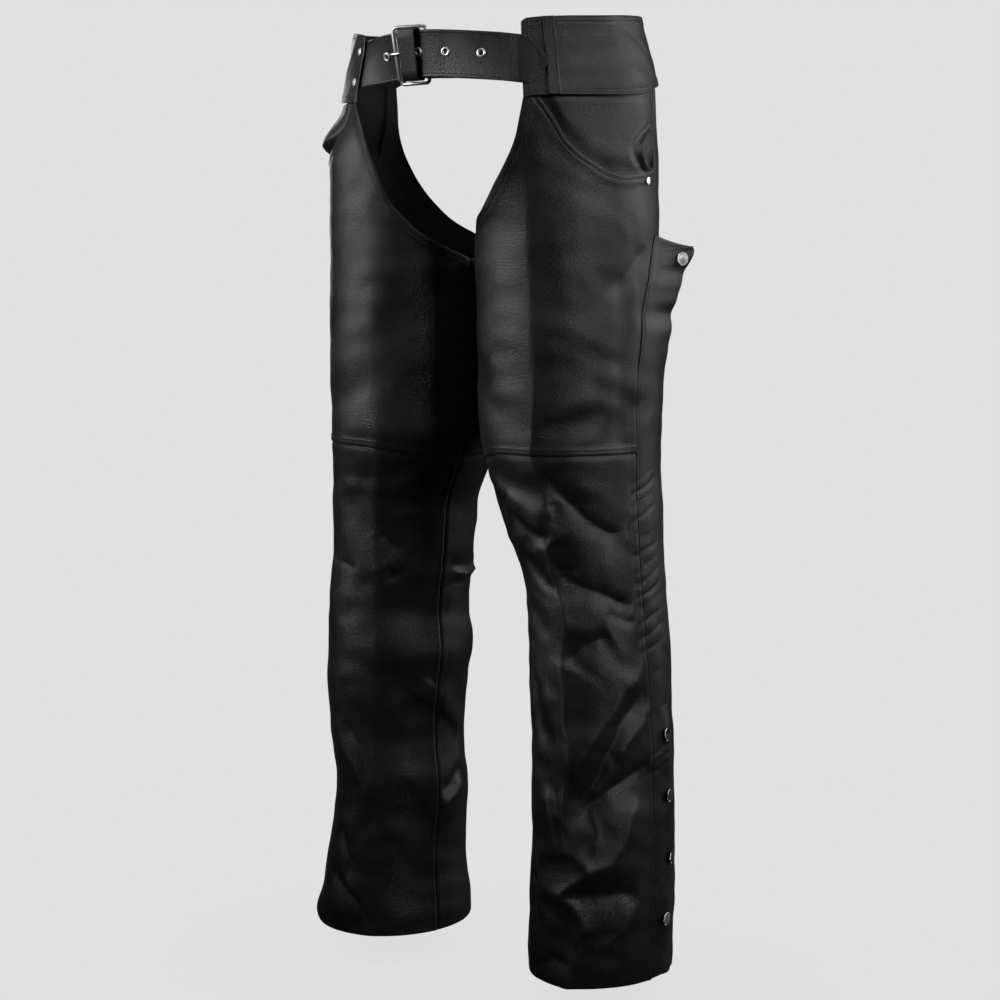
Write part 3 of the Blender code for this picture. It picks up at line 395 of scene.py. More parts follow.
# Pleats are the folds that break sharply: one side of each is short and steep, the other long and easy. Lift,
# reach over and under the crest (all in mm), and the crest's path as (angle, height) points.
PLEATS = {
    "left": (
        (-3.5, 16, 10, (100, -0.196), (80, -0.222), (55, -0.252)),
        (-7.0, 13, 20, (13, -0.434), (22, -0.460), (30.5, -0.476), (42, -0.497), (54.5, -0.507),
         (69, -0.509)),
        (-6.0, 8, 20, (5.5, -0.548), (15, -0.557), (26.5, -0.566), (39.5, -0.572), (53.5, -0.582),
         (67, -0.591)),
        (-2.5, 7, 5, (7.5, -0.544), (16, -0.547), (25, -0.547)),
        (-2.0, 4, 6, (41, -0.594), (53, -0.601), (66.5, -0.608)),
        (-6.5, 9, 20, (10.5, -0.655), (15, -0.640), (24, -0.629), (36, -0.622), (45, -0.616)),
        (5.5, 26, 8, (75, -0.651), (49.5, -0.689), (40, -0.710), (26, -0.733), (18.5, -0.756),
         (11.5, -0.782)),
        (-6.5, 9, 10, (76, -0.676), (60.5, -0.701), (48.5, -0.721), (38.5, -0.749), (26, -0.783),
         (15, -0.813)),
        (3.5, 8, 6, (80, -0.694), (70.5, -0.717), (56, -0.735), (43, -0.757)),
        (-7.5, 9, 26, (78, -0.760), (70.5, -0.767), (55.5, -0.778), (38.5, -0.792), (24.5, -0.806),
         (13, -0.824)),
        (6.5, 30, 7, (15.5, -0.851), (25, -0.879), (38.5, -0.871), (47, -0.857), (55.5, -0.830),
         (64.5, -0.795)),
        (-5.5, 9, 13, (7, -0.912), (24.5, -0.909), (44, -0.907), (66, -0.908)),
        (2.8, 14, 6, (64, -0.917), (57, -0.935), (49.5, -0.951), (36.5, -0.963), (21.5, -0.968)),
        (4.0, 16, 6, (-20, -0.472), (-11, -0.484), (0, -0.494), (9, -0.500)),
        (-5.0, 6, 22, (-25.5, -0.488), (-11.5, -0.500), (3, -0.510), (11, -0.511)),
        (-2.0, 6, 6, (18, -0.472), (18.5, -0.484), (13.5, -0.494)),
        (4.0, 6, 22, (-10, -0.785), (-5, -0.818), (-1, -0.845), (5, -0.868)),
        (-3.0, 5, 6, (-4.5, -0.779), (1, -0.812), (6, -0.840), (10, -0.862)),
        (-3.0, 5, 15, (-26, -1.006), (-13, -0.992), (-0.5, -0.981), (13.5, -0.989)),
    ),
    "right": (
        (-2.0, 8, 12, (30.5, -0.564), (11.5, -0.565), (-1.5, -0.572)),
        (-3.0, 9, 10, (-19, -0.526), (-26.5, -0.540), (-34.5, -0.550)),
        (-2.4, 7, 8, (-24, -0.566), (-33.5, -0.584)),
        (2.2, 14, 18, (22, -0.743), (13, -0.777), (-1, -0.809), (-14, -0.855)),
        (-2.4, 7, 7, (8.5, -0.751), (-7.5, -0.781), (-13.5, -0.820)),
        (-2.5, 5, 5, (18, -0.876), (0, -0.920), (0.5, -0.945)),
        (-3.5, 5, 12, (24.5, -0.933), (5, -0.949), (-9.5, -0.968), (-23.5, -0.994)),
        (3.0, 9, 9, (-57, -0.726), (-66.5, -0.703)), (3.0, 7, 9, (-77, -0.734), (-110, -0.773)),
        (-3.0, 6, 7, (-76, -0.843), (-108, -0.813)), (3.5, 6, 5, (-74, -0.860), (-110, -0.832)),
        (-2.5, 4, 4, (-78, -0.568), (-105, -0.573), (-140, -0.574)),
        (5.0, 5, 5, (-84, -0.579), (-105, -0.583), (-145, -0.584)),
        (-2.5, 4, 4, (-78, -0.591), (-105, -0.593), (-140, -0.594)),
    ),
}
CREST_ROUNDING, PATH_BLEND = 0.0016, 0.004
# The strip beside the zip puckers where the long seam pulls it: height and depth of each short trough.
PUCKERS = (
    (-0.452, 0.0004), (-0.465, 0.0008), (-0.477, 0.0003), (-0.492, 0.0007), (-0.516, 0.0002),
    (-0.532, 0.0008), (-0.547, 0.0004), (-0.561, 0.0006), (-0.577, 0.0008), (-0.590, 0.0003),
    (-0.606, 0.0007), (-0.622, 0.0008), (-0.639, 0.0005), (-0.668, 0.0003), (-0.712, 0.0003),
    (-0.755, 0.0007), (-0.766, 0.0004), (-0.777, 0.0006), (-0.842, 0.0003), (-0.905, 0.0004),
    (-0.972, 0.0003),
)
PUCKER_HALF, PUCKER_SLANT = 0.0029, 0.35
# height, angle, how far the crease stands out, how far its sharp crest stands over that
FRONT_CREASE = {
    "left": (
        (-1.030, 10, 0.0060, 0.0030), (-1.006, 11.5, 0.0060, 0.0030), (-0.980, 16, 0.005, 0.0030),
        (-0.960, 17, 0.004, 0.0030), (-0.943, 22, 0.006, 0.0030), (-0.922, 15, 0.006, 0.0028),
        (-0.908, 4.5, 0.006, 0.0025), (-0.893, 14.5, 0.006, 0.0025), (-0.878, 23.5, 0.006, 0.0025),
        (-0.859, 14, 0.0065, 0.0028), (-0.834, 10.5, 0.0065, 0.0030), (-0.818, 5, 0.0065, 0.0030),
        (-0.800, 6.5, 0.0065, 0.0030), (-0.769, 10.5, 0.0065, 0.0030), (-0.737, 12, 0.0065, 0.0030),
        (-0.713, 8, 0.0065, 0.0028), (-0.683, 8, 0.0065, 0.0026), (-0.657, 6.5, 0.0065, 0.0026),
        (-0.632, 9, 0.0065, 0.0028), (-0.608, 11, 0.0065, 0.0030), (-0.588, 9.5, 0.006, 0.0030),
        (-0.565, 6, 0.004, 0.0030), (-0.546, 4.5, 0.0045, 0.0028), (-0.527, 5, 0.005, 0.0026),
        (-0.506, 15, 0.005, 0.0020), (-0.482, 14, 0.005, 0.0018), (-0.447, 11.5, 0.005, 0.0018),
        (-0.427, 10.5, 0.005, 0.0016), (-0.392, 14, 0.0046, 0.0014), (-0.341, 15, 0.0046, 0.0006),
        (-0.285, 13.5, 0.0046, 0.0002), (-0.201, 12.5, 0.0046, 0.0), (-0.127, 12, 0.004, 0.0),
        (-0.060, 11, 0.001, 0.0),
    ),
    "right": (
        (-1.03, -18, 0.002, 0.0004), (-0.63, -20, 0.003, 0.0010), (-0.605, -20.5, 0.004, 0.0012),
        (-0.546, -17, 0.005, 0.0012), (-0.445, -13, 0.004, 0.0006), (-0.36, -10, 0.002, 0.0),
        (-0.19, -9, 0.0015, 0.0), (-0.06, -8, 0.001, 0.0),
    ),
}
CREASE_HALF_ANGLE, CREASE_ROUNDING = 17.0, 2.0
CREST_HALF_ANGLE, CREST_SOFT = 5.0, 0.8
front_crease = curves(FRONT_CREASE)
print("folds:", {s: len(FOLDS[s]) + len(BACK_FOLDS) + len(CREASES[s]) + len(PLEATS[s]) for s in SIDES})


# %% How a fold lifts the leather
def uneven(degrees, height, wave, seed):
    """A soft, irregular field from about -1 to 1, with bumps some wave apart. It closes round a leg."""
    angle = np.radians(degrees)
    x, y, z = FLAT_RADIUS * np.sin(angle), FLAT_RADIUS * np.cos(angle), height
    total = 0.0
    for step in range(7):
        turn, tip = 2.4 * step + 1.7 * seed, 1.1 * step + 0.6 * seed
        way = (math.cos(turn) * math.cos(tip), math.sin(turn) * math.cos(tip), math.sin(tip))
        pitch = wave * (0.75 + 0.13 * ((3 * step + seed) % 5))
        phase = math.tau * (x * way[0] + y * way[1] + z * way[2]) / pitch + 5.1 * seed + 1.3 * step
        total = total + np.sin(phase)
    return total / 3.4


def fold_lift(side, degrees, height):
    seed = 1 if side == "left" else 4
    wander = 2.6 * uneven(degrees, height, 0.060, seed)
    sway = 0.0035 * uneven(degrees, height, 0.052, seed + 7)
    degrees_here, height_here = degrees + wander, height + sway
    total = 0.0
    for angle_a, height_a, angle_b, height_b, half_width, lift in FOLDS[side] + BACK_FOLDS + CREASES[side]:
        along = (math.radians(angle_b - angle_a) * FLAT_RADIUS, height_b - height_a)
        length = math.hypot(*along)
        unit = (along[0] / length, along[1] / length)
        offset = np.radians(turned(degrees_here - angle_a)) * FLAT_RADIUS, height_here - height_a
        way = offset[0] * unit[0] + offset[1] * unit[1]
        off = (offset[0] * unit[1] - offset[1] * unit[0]) / half_width
        beyond = np.maximum(0.0, np.maximum(-way, way - length))
        lips = np.exp(-(((np.abs(off) - LIP_PLACE) / LIP_WIDTH) ** 2))
        shape = np.exp(-(off**2)) - LIP_HEIGHT * lips
        total = total + lift * shape * bump(beyond, 1.2 * half_width)
    return total


def pleat_lift(side, degrees, height):
    """Pleats: sharp at the crest or the bottom, with a longer flank on each side, fading out at both ends."""
    seed = 1 if side == "left" else 4
    height = height + 0.0016 * uneven(degrees, height, 0.034, seed + 2)
    total = 0.0
    for lift, over, under, *path in PLEATS[side]:
        angles, heights = np.array(path, float).T
        x, z = np.radians(angles - angles[0]) * FLAT_RADIUS, heights
        px = np.radians(turned(degrees - angles[0])) * FLAT_RADIUS
        run = np.concatenate([[0], np.cumsum(np.hypot(np.diff(x), np.diff(z)))])
        weights, nearest, reach, way = 0.0, 0.0, 0.0, 0.0
        for i in range(len(x) - 1):
            step_x, step_z, length = x[i + 1] - x[i], z[i + 1] - z[i], run[i + 1] - run[i]
            share = np.clip(((px - x[i]) * step_x + (height - z[i]) * step_z) / length**2, 0, 1)
            aside_x, aside_z = px - x[i] - share * step_x, height - z[i] - share * step_z
            away = np.hypot(aside_x, aside_z) + 1e-6
            # 1 over the path, -1 under it, and in between beyond its ends
            turn = (aside_z * step_x - aside_x * step_z) * np.sign(x[-1]) / (length * away)
            weight = np.exp(-away / PATH_BLEND)
            weights = weights + weight
            nearest = nearest + weight * away
            reach = reach + weight * (under + (over - under) * (0.5 + 0.5 * turn))
            way = way + weight * (run[i] + share * length)
        nearest, reach, way = nearest / weights, reach / weights, way / weights
        fade = smooth(0.10 + np.minimum(way, run[-1] - way) / (0.25 * run[-1]))
        rounded = np.hypot(nearest, CREST_ROUNDING) - CREST_ROUNDING
        total = total + 0.001 * lift * fade * np.exp(-1000 * rounded / reach)
    return total


def crease_lift(side, degrees, height):
    middle, stand, sharp = front_crease[side](height)
    away = turned(degrees - middle)
    broad = np.hypot(away, CREASE_ROUNDING) - CREASE_ROUNDING
    crest = np.hypot(away, CREST_SOFT) - CREST_SOFT
    return stand * np.exp(-broad / CREASE_HALF_ANGLE) + sharp * np.exp(-crest / CREST_HALF_ANGLE)


def slack_lift(side, degrees, height):
    """The unevenness that even a flat stretch of hide has."""
    seed = 2 if side == "left" else 5
    broad, small = uneven(degrees, height, 0.085, seed), uneven(degrees, height, 0.030, seed + 3)
    return (0.0006 * broad + 0.0003 * small) * smooth((-0.050 - height) / 0.06)


# %% [markdown]
# ## Legs and waist as surfaces
# The same few functions place every panel, so panels meet along their seams without being fitted.

# %% Points of a leg
FLAP_LINE = (
    (-1.030, 84.0), (-0.800, 83.0), (-0.708, 80.5), (-0.676, 79.5), (-0.617, 77.5), (-0.550, 78.0),
    (-0.490, 79.5), (-0.420, 82.0), (-0.348, 83.5), (-0.303, 88.0), (-0.259, 93.0), (-0.219, 101.0),
    (-0.186, 108.0),
)
flap_line = curve(FLAP_LINE)


def waist_axes(side, height):
    share = (YOKE_HIGH - height) / (YOKE_HIGH - YOKE_LOW)
    high, low = YOKE_HIGH_AXES[side], YOKE_LOW_AXES[side]
    return high[0] + (low[0] - high[0]) * share, high[1] + (low[1] - high[1]) * share


def radius_to_waist(side, angle, height, out, back):
    tuck = PANEL_TUCK + PANEL_DROP * smooth((-0.028 - height) / 0.014)
    wide, deep = (half - tuck for half in waist_axes(side, np.maximum(height, WAIST_BLEND)))
    toward = np.sin(angle) / wide, -np.cos(angle) / deep
    start = out / wide, back / deep
    a = toward[0] ** 2 + toward[1] ** 2
    b = toward[0] * start[0] + toward[1] * start[1]
    c = start[0] ** 2 + start[1] ** 2 - 1
    return (-b + np.sqrt(b * b - a * c)) / a


def leg_surface(side, degrees, height, lift=0.0):
    """Points of the outer face of a leg's panels. lift moves them straight out from the leg's middle."""
    out, back, half_width, half_depth = section[side](height)
    angle = np.radians(degrees)
    sine, cosine = np.sin(angle), np.cos(angle)
    radius = 1 / np.sqrt((sine / half_width) ** 2 + (cosine / half_depth) ** 2)
    radius = radius + crease_lift(side, degrees, height) + fold_lift(side, degrees, height)
    radius = radius + pleat_lift(side, degrees, height)
    share = smooth((height - TUBE_TOP[side]) / (WAIST_BLEND - TUBE_TOP[side]))
    radius = radius + (radius_to_waist(side, angle, height, out, back) - radius) * share
    radius = radius + slack_lift(side, degrees, height) + lift
    return np.stack([SIDES[side] * (out + radius * sine), back - radius * cosine, height + 0 * radius], -1)


def facing_out(place, first, second, side, steps):
    """Outward directions of the surface place(first, second), found from points nearby."""
    across = place(first + steps[0], second) - place(first - steps[0], second)
    up = place(first, second + steps[1]) - place(first, second - steps[1])
    normal = np.cross(across, up) * SIDES[side]
    return normal / np.linalg.norm(normal, axis=-1, keepdims=True)


def leg_normal(side, degrees, height):
    return facing_out(lambda d, h: leg_surface(side, d, h), degrees, height, side, (1.0, 0.003))


def leg_point(side, degrees, height, lift):
    """Points of a leg, moved out square to the surface."""
    moved = leg_normal(side, degrees, height) * np.asarray(lift)[..., None]
    return leg_surface(side, degrees, height) + moved


# %% Points of the yoke and the belt
BELT_MIDDLE = (
    (-41, -0.0016), (-35, -0.0010), (-20, 0.0020), (-12, 0.0042), (0, 0.0064), (6, 0.0067), (12, 0.0061),
    (26, 0.0036), (33, 0.0020), (43, -0.0012), (50, -0.0020),
)
BELT_LEAN = ((-31, 0.0), (-26, 0.12), (-20, 0.28), (-12, 0.42), (0, 0.36), (20, 0.16), (36, 0.0))
belt_middle, belt_lean = curve(BELT_MIDDLE), curve(BELT_LEAN)


def oval_point(degrees, wide, deep, height, lift):
    angle = np.radians(degrees)
    sine, cosine = np.sin(angle), np.cos(angle)
    size = np.hypot(sine / wide, cosine / deep)
    x = wide * sine + lift * sine / wide / size
    y = -deep * cosine - lift * cosine / deep / size
    return np.stack([x, y, height + 0 * x], -1)


def waist_point(side, degrees, height, lift=0.0):
    """Points of the yoke's inner face, moved out by lift."""
    wide, deep = waist_axes(side, height)
    return oval_point(degrees, wide, deep, height, lift) * np.array([SIDES[side], 1.0, 1.0])


def belt_point(degrees, up, lift):
    """Points of the belt: angle, height over its middle, and lift over the yoke's inner face."""
    share = smooth((degrees + 41) / 82)
    height = belt_middle(degrees) + up
    right, left = waist_axes("right", height), waist_axes("left", height)
    wide, deep = (r + (l - r) * share for r, l in zip(right, left))
    return oval_point(degrees, wide, deep, height, lift + belt_lean(degrees) * up)


print("waist at the yoke's lower edge:", {side: waist_axes(side, YOKE_LOW) for side in SIDES})

# %% [markdown]
# ## Seams in relief
# Where two panels meet, one is folded under and topstitched: there are two more layers beneath for some 7 mm,
# so the surface steps up, dips along the stitches and ends in a rounded edge. The same goes for the turned
# edges of the pocket's mouth and the open fronts and backs. Each is a lift that depends on the distance to
# the seam's line.


# %% Distance to a line drawn on the leg
def spread_flat(side, degrees, height):
    """Angle and height as lengths on the leg, for measuring along and across seams."""
    return np.radians(degrees) * mean_radius(side, height), height


def distance_to(side, line, degrees, height):
    """How far each point lies from a line of (angle, height) points, in metres."""
    ends = np.array(line, float)
    x, z = spread_flat(side, ends[:, 0], ends[:, 1])
    px, pz = spread_flat(side, degrees, height)
    nearest = np.full(np.shape(px), 1.0)
    for i in range(len(x) - 1):
        step = x[i + 1] - x[i], z[i + 1] - z[i]
        share = ((px - x[i]) * step[0] + (pz - z[i]) * step[1]) / (step[0] ** 2 + step[1] ** 2)
        share = np.clip(share, 0, 1)
        nearest = np.minimum(nearest, np.hypot(px - x[i] - share * step[0], pz - z[i] - share * step[1]))
    return nearest


def edge_line(read, low, high, count=44):
    angles = np.linspace(low, high, count)
    return np.stack([angles, read(angles)], -1)


# Turned edges: width of the doubled leather, how far it rises, how far in its first row of stitches runs
KNEE_HEM, OPEN_HEM, MOUTH_HEM = (0.0075, 0.0008, 0.0052), (0.0095, 0.0006, 0.0072), (0.0120, 0.0005, 0.0048)
MOUTH_SECOND_ROW, STITCH_DIP, DIP_HALF = 0.0102, 0.00045, 0.0010


def hem_relief(away, width, rise, stitch):
    """A turned and stitched edge: the leather is doubled for this width, and dips along its stitches."""
    edge = -0.5 * rise * bump(away, 0.0012)
    doubled = rise * (1 - smooth((away - width + 0.001) / 0.0025))
    return doubled + edge - STITCH_DIP * bump(away - stitch, DIP_HALF)


EDGE_LINES = {
    side: {
        "front": edge_line(front_edge[side], -73, FRONT_EDGE[side][-1][0]),
        "mouth": edge_line(pocket_mouth[side], POCKET_MOUTH[side][0][0], 112),
        "back": edge_line(back_edge, BACK_EDGE[0][0], 287),
    }
    for side in SIDES
}


def knee_height(side, degrees):
    angles, drops = np.array(KNEE_DROP).T
    return KNEE_SEAM[side] - np.interp(degrees, angles, drops)


def seam_relief(side, degrees, height, panel):
    """The lift that the seams round this panel give it."""
    over_knee = height - knee_height(side, degrees)
    if panel.startswith("thigh"):
        lift = hem_relief(over_knee, *KNEE_HEM)
    else:
        lift = -0.0010 * bump(over_knee, 0.0040)
    from_inseam = np.radians(np.abs(turned(degrees - INSEAM))) * mean_radius(side, height)
    lift = lift + 0.0004 * bump(from_inseam - 0.004, 0.003) - 0.0007 * bump(from_inseam, 0.0014)
    if panel == "thigh_front":
        away = distance_to(side, EDGE_LINES[side]["front"], degrees, height)
        lift = lift + hem_relief(away, *OPEN_HEM)
        away = distance_to(side, EDGE_LINES[side]["mouth"], degrees, height)
        lift = lift + hem_relief(away, *MOUTH_HEM) - 0.00018 * bump(away - MOUTH_SECOND_ROW, 0.0011)
    elif panel == "thigh_back":
        away = distance_to(side, EDGE_LINES[side]["back"], degrees, height)
        lift = lift + hem_relief(away, *OPEN_HEM)
    else:
        above_hem = height - HEM[side]
        lift = lift - 0.0004 * bump(above_hem, 0.0012)
    return lift


def past_flap_line(side, degrees, height):
    """How far round the leg each point lies from the flap's sewn edge, in metres."""
    return np.radians(degrees - flap_line(height)) * mean_radius(side, height)


def pucker_lift(side, degrees, height):
    """Short troughs square to the flap's seam."""
    across = past_flap_line(side, degrees, height)
    fade = smooth((across + 0.014) / 0.010) * (1 - smooth((across - 0.020) / 0.020))
    drift = height - PUCKER_SLANT * across - 0.002 * uneven(degrees, height, 0.05, 6)
    return -fade * sum(depth * bump(drift - middle, PUCKER_HALF) for middle, depth in PUCKERS)


print("seam relief is ready; the front edge is", len(EDGE_LINES["left"]["front"]), "points long")

# %% [markdown]
# ## Leather, thread and metal
# Black cowhide with a smooth, lightly printed grain is dyed through and finished with a thin semi-matt coat.
# It has almost no colour of its own: what the eye sees is the soft gloss, broken up by pebbles about a
# millimetre across. Ridges and edges are rubbed paler. The flesh side is raw and dull.
# Grain comes from Voronoi cells on Object coordinates, with cell size = 1 / scale.

# %% Grain leather
GRAIN_MM = 1.5  # the real pebbles are near 0.8 mm; drawn coarser so that they show from three metres


def grain_leather(name, base, rubbed, roughness, grain_mm=GRAIN_MM):
    material, shader = new_material(name, Roughness=roughness, Specular_IOR_Level=0.5)
    place = add_node(material, "ShaderNodeTexCoord")
    tone = add_node(material, "ShaderNodeTexNoise", [("Vector", place, "Object")], Scale=21.0, Detail=5.0)
    worn = add_node(material, "ShaderNodeAttribute", attribute_name="rubbed")
    patchy = add_node(
        material, "ShaderNodeMath", [(0, worn, "Fac"), (1, tone, "Fac")],
        operation="MULTIPLY", use_clamp=True,
    )
    paint = add_node(
        material, "ShaderNodeMix", [("Factor", patchy, "Value")],
        data_type="RGBA", A=colour(base), B=colour(rubbed),
    )
    gloss = add_node(
        material, "ShaderNodeMapRange", [("Value", tone, "Fac")],
        From_Min=0.35, From_Max=0.68, To_Min=roughness - 0.06, To_Max=roughness + 0.08,
    )
    cells = add_node(
        material, "ShaderNodeTexVoronoi", [("Vector", place, "Object")], feature="SMOOTH_F1",
        Scale=1000 / grain_mm, Smoothness=0.6,
    )
    pores = add_node(material, "ShaderNodeTexNoise", [("Vector", place, "Object")], Scale=2400.0, Detail=2.0)
    creases = add_node(
        material, "ShaderNodeTexNoise", [("Vector", place, "Object")],
        Scale=150.0, Detail=4.0, Distortion=0.6,
    )
    grain = add_node(material, "ShaderNodeMath", [(0, cells, "Distance"), (1, pores, "Fac")], operation="ADD")
    faint = add_node(material, "ShaderNodeMath", [(0, creases, "Fac")], operation="MULTIPLY")
    faint.inputs[1].default_value = 0.35
    height = add_node(material, "ShaderNodeMath", [(0, grain, "Value"), (1, faint, "Value")], operation="ADD")
    relief = add_node(
        material, "ShaderNodeBump", [("Height", height, "Value")], Strength=0.5, Distance=0.00045,
    )
    tree = material.node_tree
    tree.links.new(paint.outputs["Result"], shader.inputs["Base Color"])
    tree.links.new(gloss.outputs["Result"], shader.inputs["Roughness"])
    tree.links.new(relief.outputs["Normal"], shader.inputs["Normal"])
    return material


panel_leather = grain_leather("black_cowhide_grain_side", "#0f0f10", "#272728", 0.41)
belt_leather = grain_leather("black_cowhide_belt_strap", "#101011", "#2a2a2b", 0.40)


# %% Flesh side, cut edge and thread
def dull_leather(name, base, lighter, scale, roughness):
    material, shader = new_material(name, Roughness=roughness, Specular_IOR_Level=0.3)
    place = add_node(material, "ShaderNodeTexCoord")
    nap = add_node(material, "ShaderNodeTexNoise", [("Vector", place, "Object")], Scale=scale, Detail=6.0)
    paint = add_node(
        material, "ShaderNodeMix", [("Factor", nap, "Fac")],
        data_type="RGBA", A=colour(base), B=colour(lighter),
    )
    relief = add_node(material, "ShaderNodeBump", [("Height", nap, "Fac")], Strength=0.6, Distance=0.0006)
    material.node_tree.links.new(paint.outputs["Result"], shader.inputs["Base Color"])
    material.node_tree.links.new(relief.outputs["Normal"], shader.inputs["Normal"])
    return material


flesh_side = dull_leather("black_cowhide_flesh_side", "#1a1919", "#2b2929", 900.0, 0.92)
cut_edge = dull_leather("dyed_cut_edge", "#111111", "#1f1e1e", 500.0, 0.62)

# Bonded nylon thread is smooth and round, so each stitch carries its own small highlight.
thread, _ = new_material("black_bonded_nylon_thread", Base_Color=colour("#131314"), Roughness=0.5)

# Nickel plate on the buckle, the rivets, the eyelets and two snaps of each flap is bright and faintly brushed
# by handling. The other snaps are polished.
nickel, shader = new_material("bright_nickel_plate", Base_Color=colour("#efedea"), Metallic=1.0)
place = add_node(nickel, "ShaderNodeTexCoord")
handled = add_node(nickel, "ShaderNodeTexNoise", [("Vector", place, "Object")], Scale=420.0, Detail=4.0)
gloss = add_node(nickel, "ShaderNodeMapRange", [("Value", handled, "Fac")], To_Min=0.32, To_Max=0.44)
nickel.node_tree.links.new(gloss.outputs["Result"], shader.inputs["Roughness"])
snap_nickel, _ = new_material(
    "polished_nickel_caps", Base_Color=colour("#b4b2ae"), Metallic=1.0, Roughness=0.08,
)
finishes = (panel_leather, belt_leather, flesh_side, cut_edge, thread, nickel, snap_nickel)
print("materials:", [finish.name for finish in finishes])

# %% [markdown]
# ## From a flat grid to a panel
# A panel starts flat, as its hide does on the cutting table: a grid added with its rows and columns. Each
# point is then moved to its place on the garment. Solidify gives the hide its thickness, with the flesh side
# and the cut edge as materials of their own, and a small Bevel takes the sharpness off the edge.


# %% Laying a grid on the garment
def rubbed_amount(points, tall, wide):
    """How far each point stands over its neighbours' level, and how near the panel's edge it is."""
    grid = points.reshape(tall, wide, 3)
    padded = np.pad(grid, ((2, 2), (2, 2), (0, 0)), mode="edge")
    starts = ((4, 2), (0, 2), (2, 4), (2, 0))
    around = sum(padded[row : row + tall, column : column + wide] for column, row in starts)
    across, up = np.gradient(grid, axis=1), np.gradient(grid, axis=0)
    normal = np.cross(across, up)
    normal /= np.linalg.norm(normal, axis=-1, keepdims=True) + 1e-12
    ridge = np.abs(((grid - around / 4) * normal).sum(-1))
    return np.clip(ridge / 0.0006 - 0.25, 0, 1).reshape(-1)


def round_edges(piece, width, segments, degrees):
    """Bevels the edges that are sharper than this many degrees."""
    rounding = piece.modifiers.new("round_edges", "BEVEL")
    rounding.width, rounding.segments, rounding.limit_method = width, segments, "ANGLE"
    rounding.angle_limit = math.radians(degrees)
    bpy.ops.object.modifier_apply(modifier=rounding.name)


panels = {}


def lay_panel(node, columns, shares, place, thickness=LEATHER, side="left", outside=0.0):
    """Lays the panel that stands for this node. Its outer face is place(column, share), moved out by this
    much outside."""
    leather, ending = (belt_leather, "leather") if node.startswith("belt") else (panel_leather, "hide")
    columns, shares = np.array(columns, float), np.array(shares, float)
    wide, tall = len(columns), len(shares)
    piece = add_primitive(
        f"{node}_{ending}", bpy.ops.mesh.primitive_grid_add,
        x_subdivisions=wide - 1, y_subdivisions=tall - 1, size=1,
    )
    flat = np.empty(len(piece.data.vertices) * 3)
    piece.data.vertices.foreach_get("co", flat)
    flat = flat.reshape(-1, 3) + 0.5
    column = np.rint(flat[:, 0] * (wide - 1)).astype(int)
    row = np.rint(flat[:, 1] * (tall - 1)).astype(int)
    points = place(columns[column], shares[row])
    if outside:
        steps = (0.002 * (columns[-1] - columns[0]), 0.01)
        points = points + facing_out(place, columns[column], shares[row], side, steps) * outside
    piece.data.vertices.foreach_set("co", points.reshape(-1))
    if SIDES[side] < 0:
        piece.data.flip_normals()
    order = np.argsort(row * wide + column)
    amount = np.empty(len(order))
    amount[order] = rubbed_amount(points[order], tall, wide)
    edge = np.minimum(np.minimum(column, wide - 1 - column), np.minimum(row, tall - 1 - row))
    amount = np.maximum(amount, 0.75 * (edge == 0))
    piece.data.attributes.new("rubbed", "FLOAT", "POINT").data.foreach_set("value", amount)
    for material in (leather, flesh_side, cut_edge):
        piece.data.materials.append(material)
    hide = piece.modifiers.new("hide_thickness", "SOLIDIFY")
    hide.thickness, hide.offset = thickness, -1.0
    hide.material_offset, hide.material_offset_rim = 1, 2
    bpy.ops.object.modifier_apply(modifier=hide.name)
    round_edges(piece, 0.25 * thickness, 2, 60)
    piece.data.shade_smooth()
    bpy.ops.object.shade_smooth_by_angle(angle=math.radians(50))
    panels[node] = piece


def area_of(piece):
    """Half of a shell's whole area: the area of its hide."""
    return sum(face.area for face in piece.data.polygons) / 2


def spaced(low, high, pitch):
    return np.linspace(low, high, max(2, round(abs(high - low) / pitch)) + 1)


def joined(*runs):
    """Runs of stops put end to end, each sharing its first stop with the last one before it."""
    return np.concatenate([runs[0], *(run[1:] for run in runs[1:])])


# %% [markdown]
# ## The leg panels
# Each leg has a front and a back thigh panel, a front and a back shin panel under the knee seam, a facing
# behind the slanting pocket, and a flap with snaps over the long zip. Rows stand closer at both ends of a
# panel, because the relief of a sewn edge is only a few millimetres wide.

# %% Rows of a panel: 0 to 1 is its lower edge, 1 to 2 its field, 2 to 3 its upper edge
LOWER_BAND, UPPER_BAND = 0.009, 0.014


def banded(low, high, share):
    edges = low, low + LOWER_BAND, high - UPPER_BAND, high
    first = edges[0] + (edges[1] - edges[0]) * share
    second = edges[1] + (edges[2] - edges[1]) * (share - 1)
    third = edges[2] + (edges[3] - edges[2]) * (share - 2)
    return np.where(share < 1, first, np.where(share < 2, second, third))


def band_rows(field):
    return joined(np.linspace(0, 1, 8), field, np.linspace(2, 3, 10))


def inside_seams(degrees, low, high):
    half_gap = math.degrees(SEAM_GAP / 2 / FLAT_RADIUS)
    return low + half_gap + (high - low - 2 * half_gap) * (degrees - low) / (high - low)


def waist_angle(side, degrees):
    point = leg_surface(side, degrees, YOKE_LOW + 0 * degrees)
    wide, deep = waist_axes(side, YOKE_LOW)
    return np.degrees(np.arctan2(np.abs(point[..., 0]) / wide, -point[..., 1] / deep))


def front_top(side, degrees):
    edge, mouth = FRONT_EDGE[side], POCKET_MOUTH[side]
    between = (degrees > edge[-1][0]) & (degrees < mouth[0][0])
    found = np.where(degrees <= edge[-1][0], front_edge[side](degrees), pocket_mouth[side](degrees))
    return np.where(between, edge[-1][1], found)


def back_top(side, degrees):
    under_yoke = yoke_bottom[side](waist_angle(side, degrees)) + LAP
    return np.where(degrees < BACK_EDGE[0][0], under_yoke, back_edge(degrees))


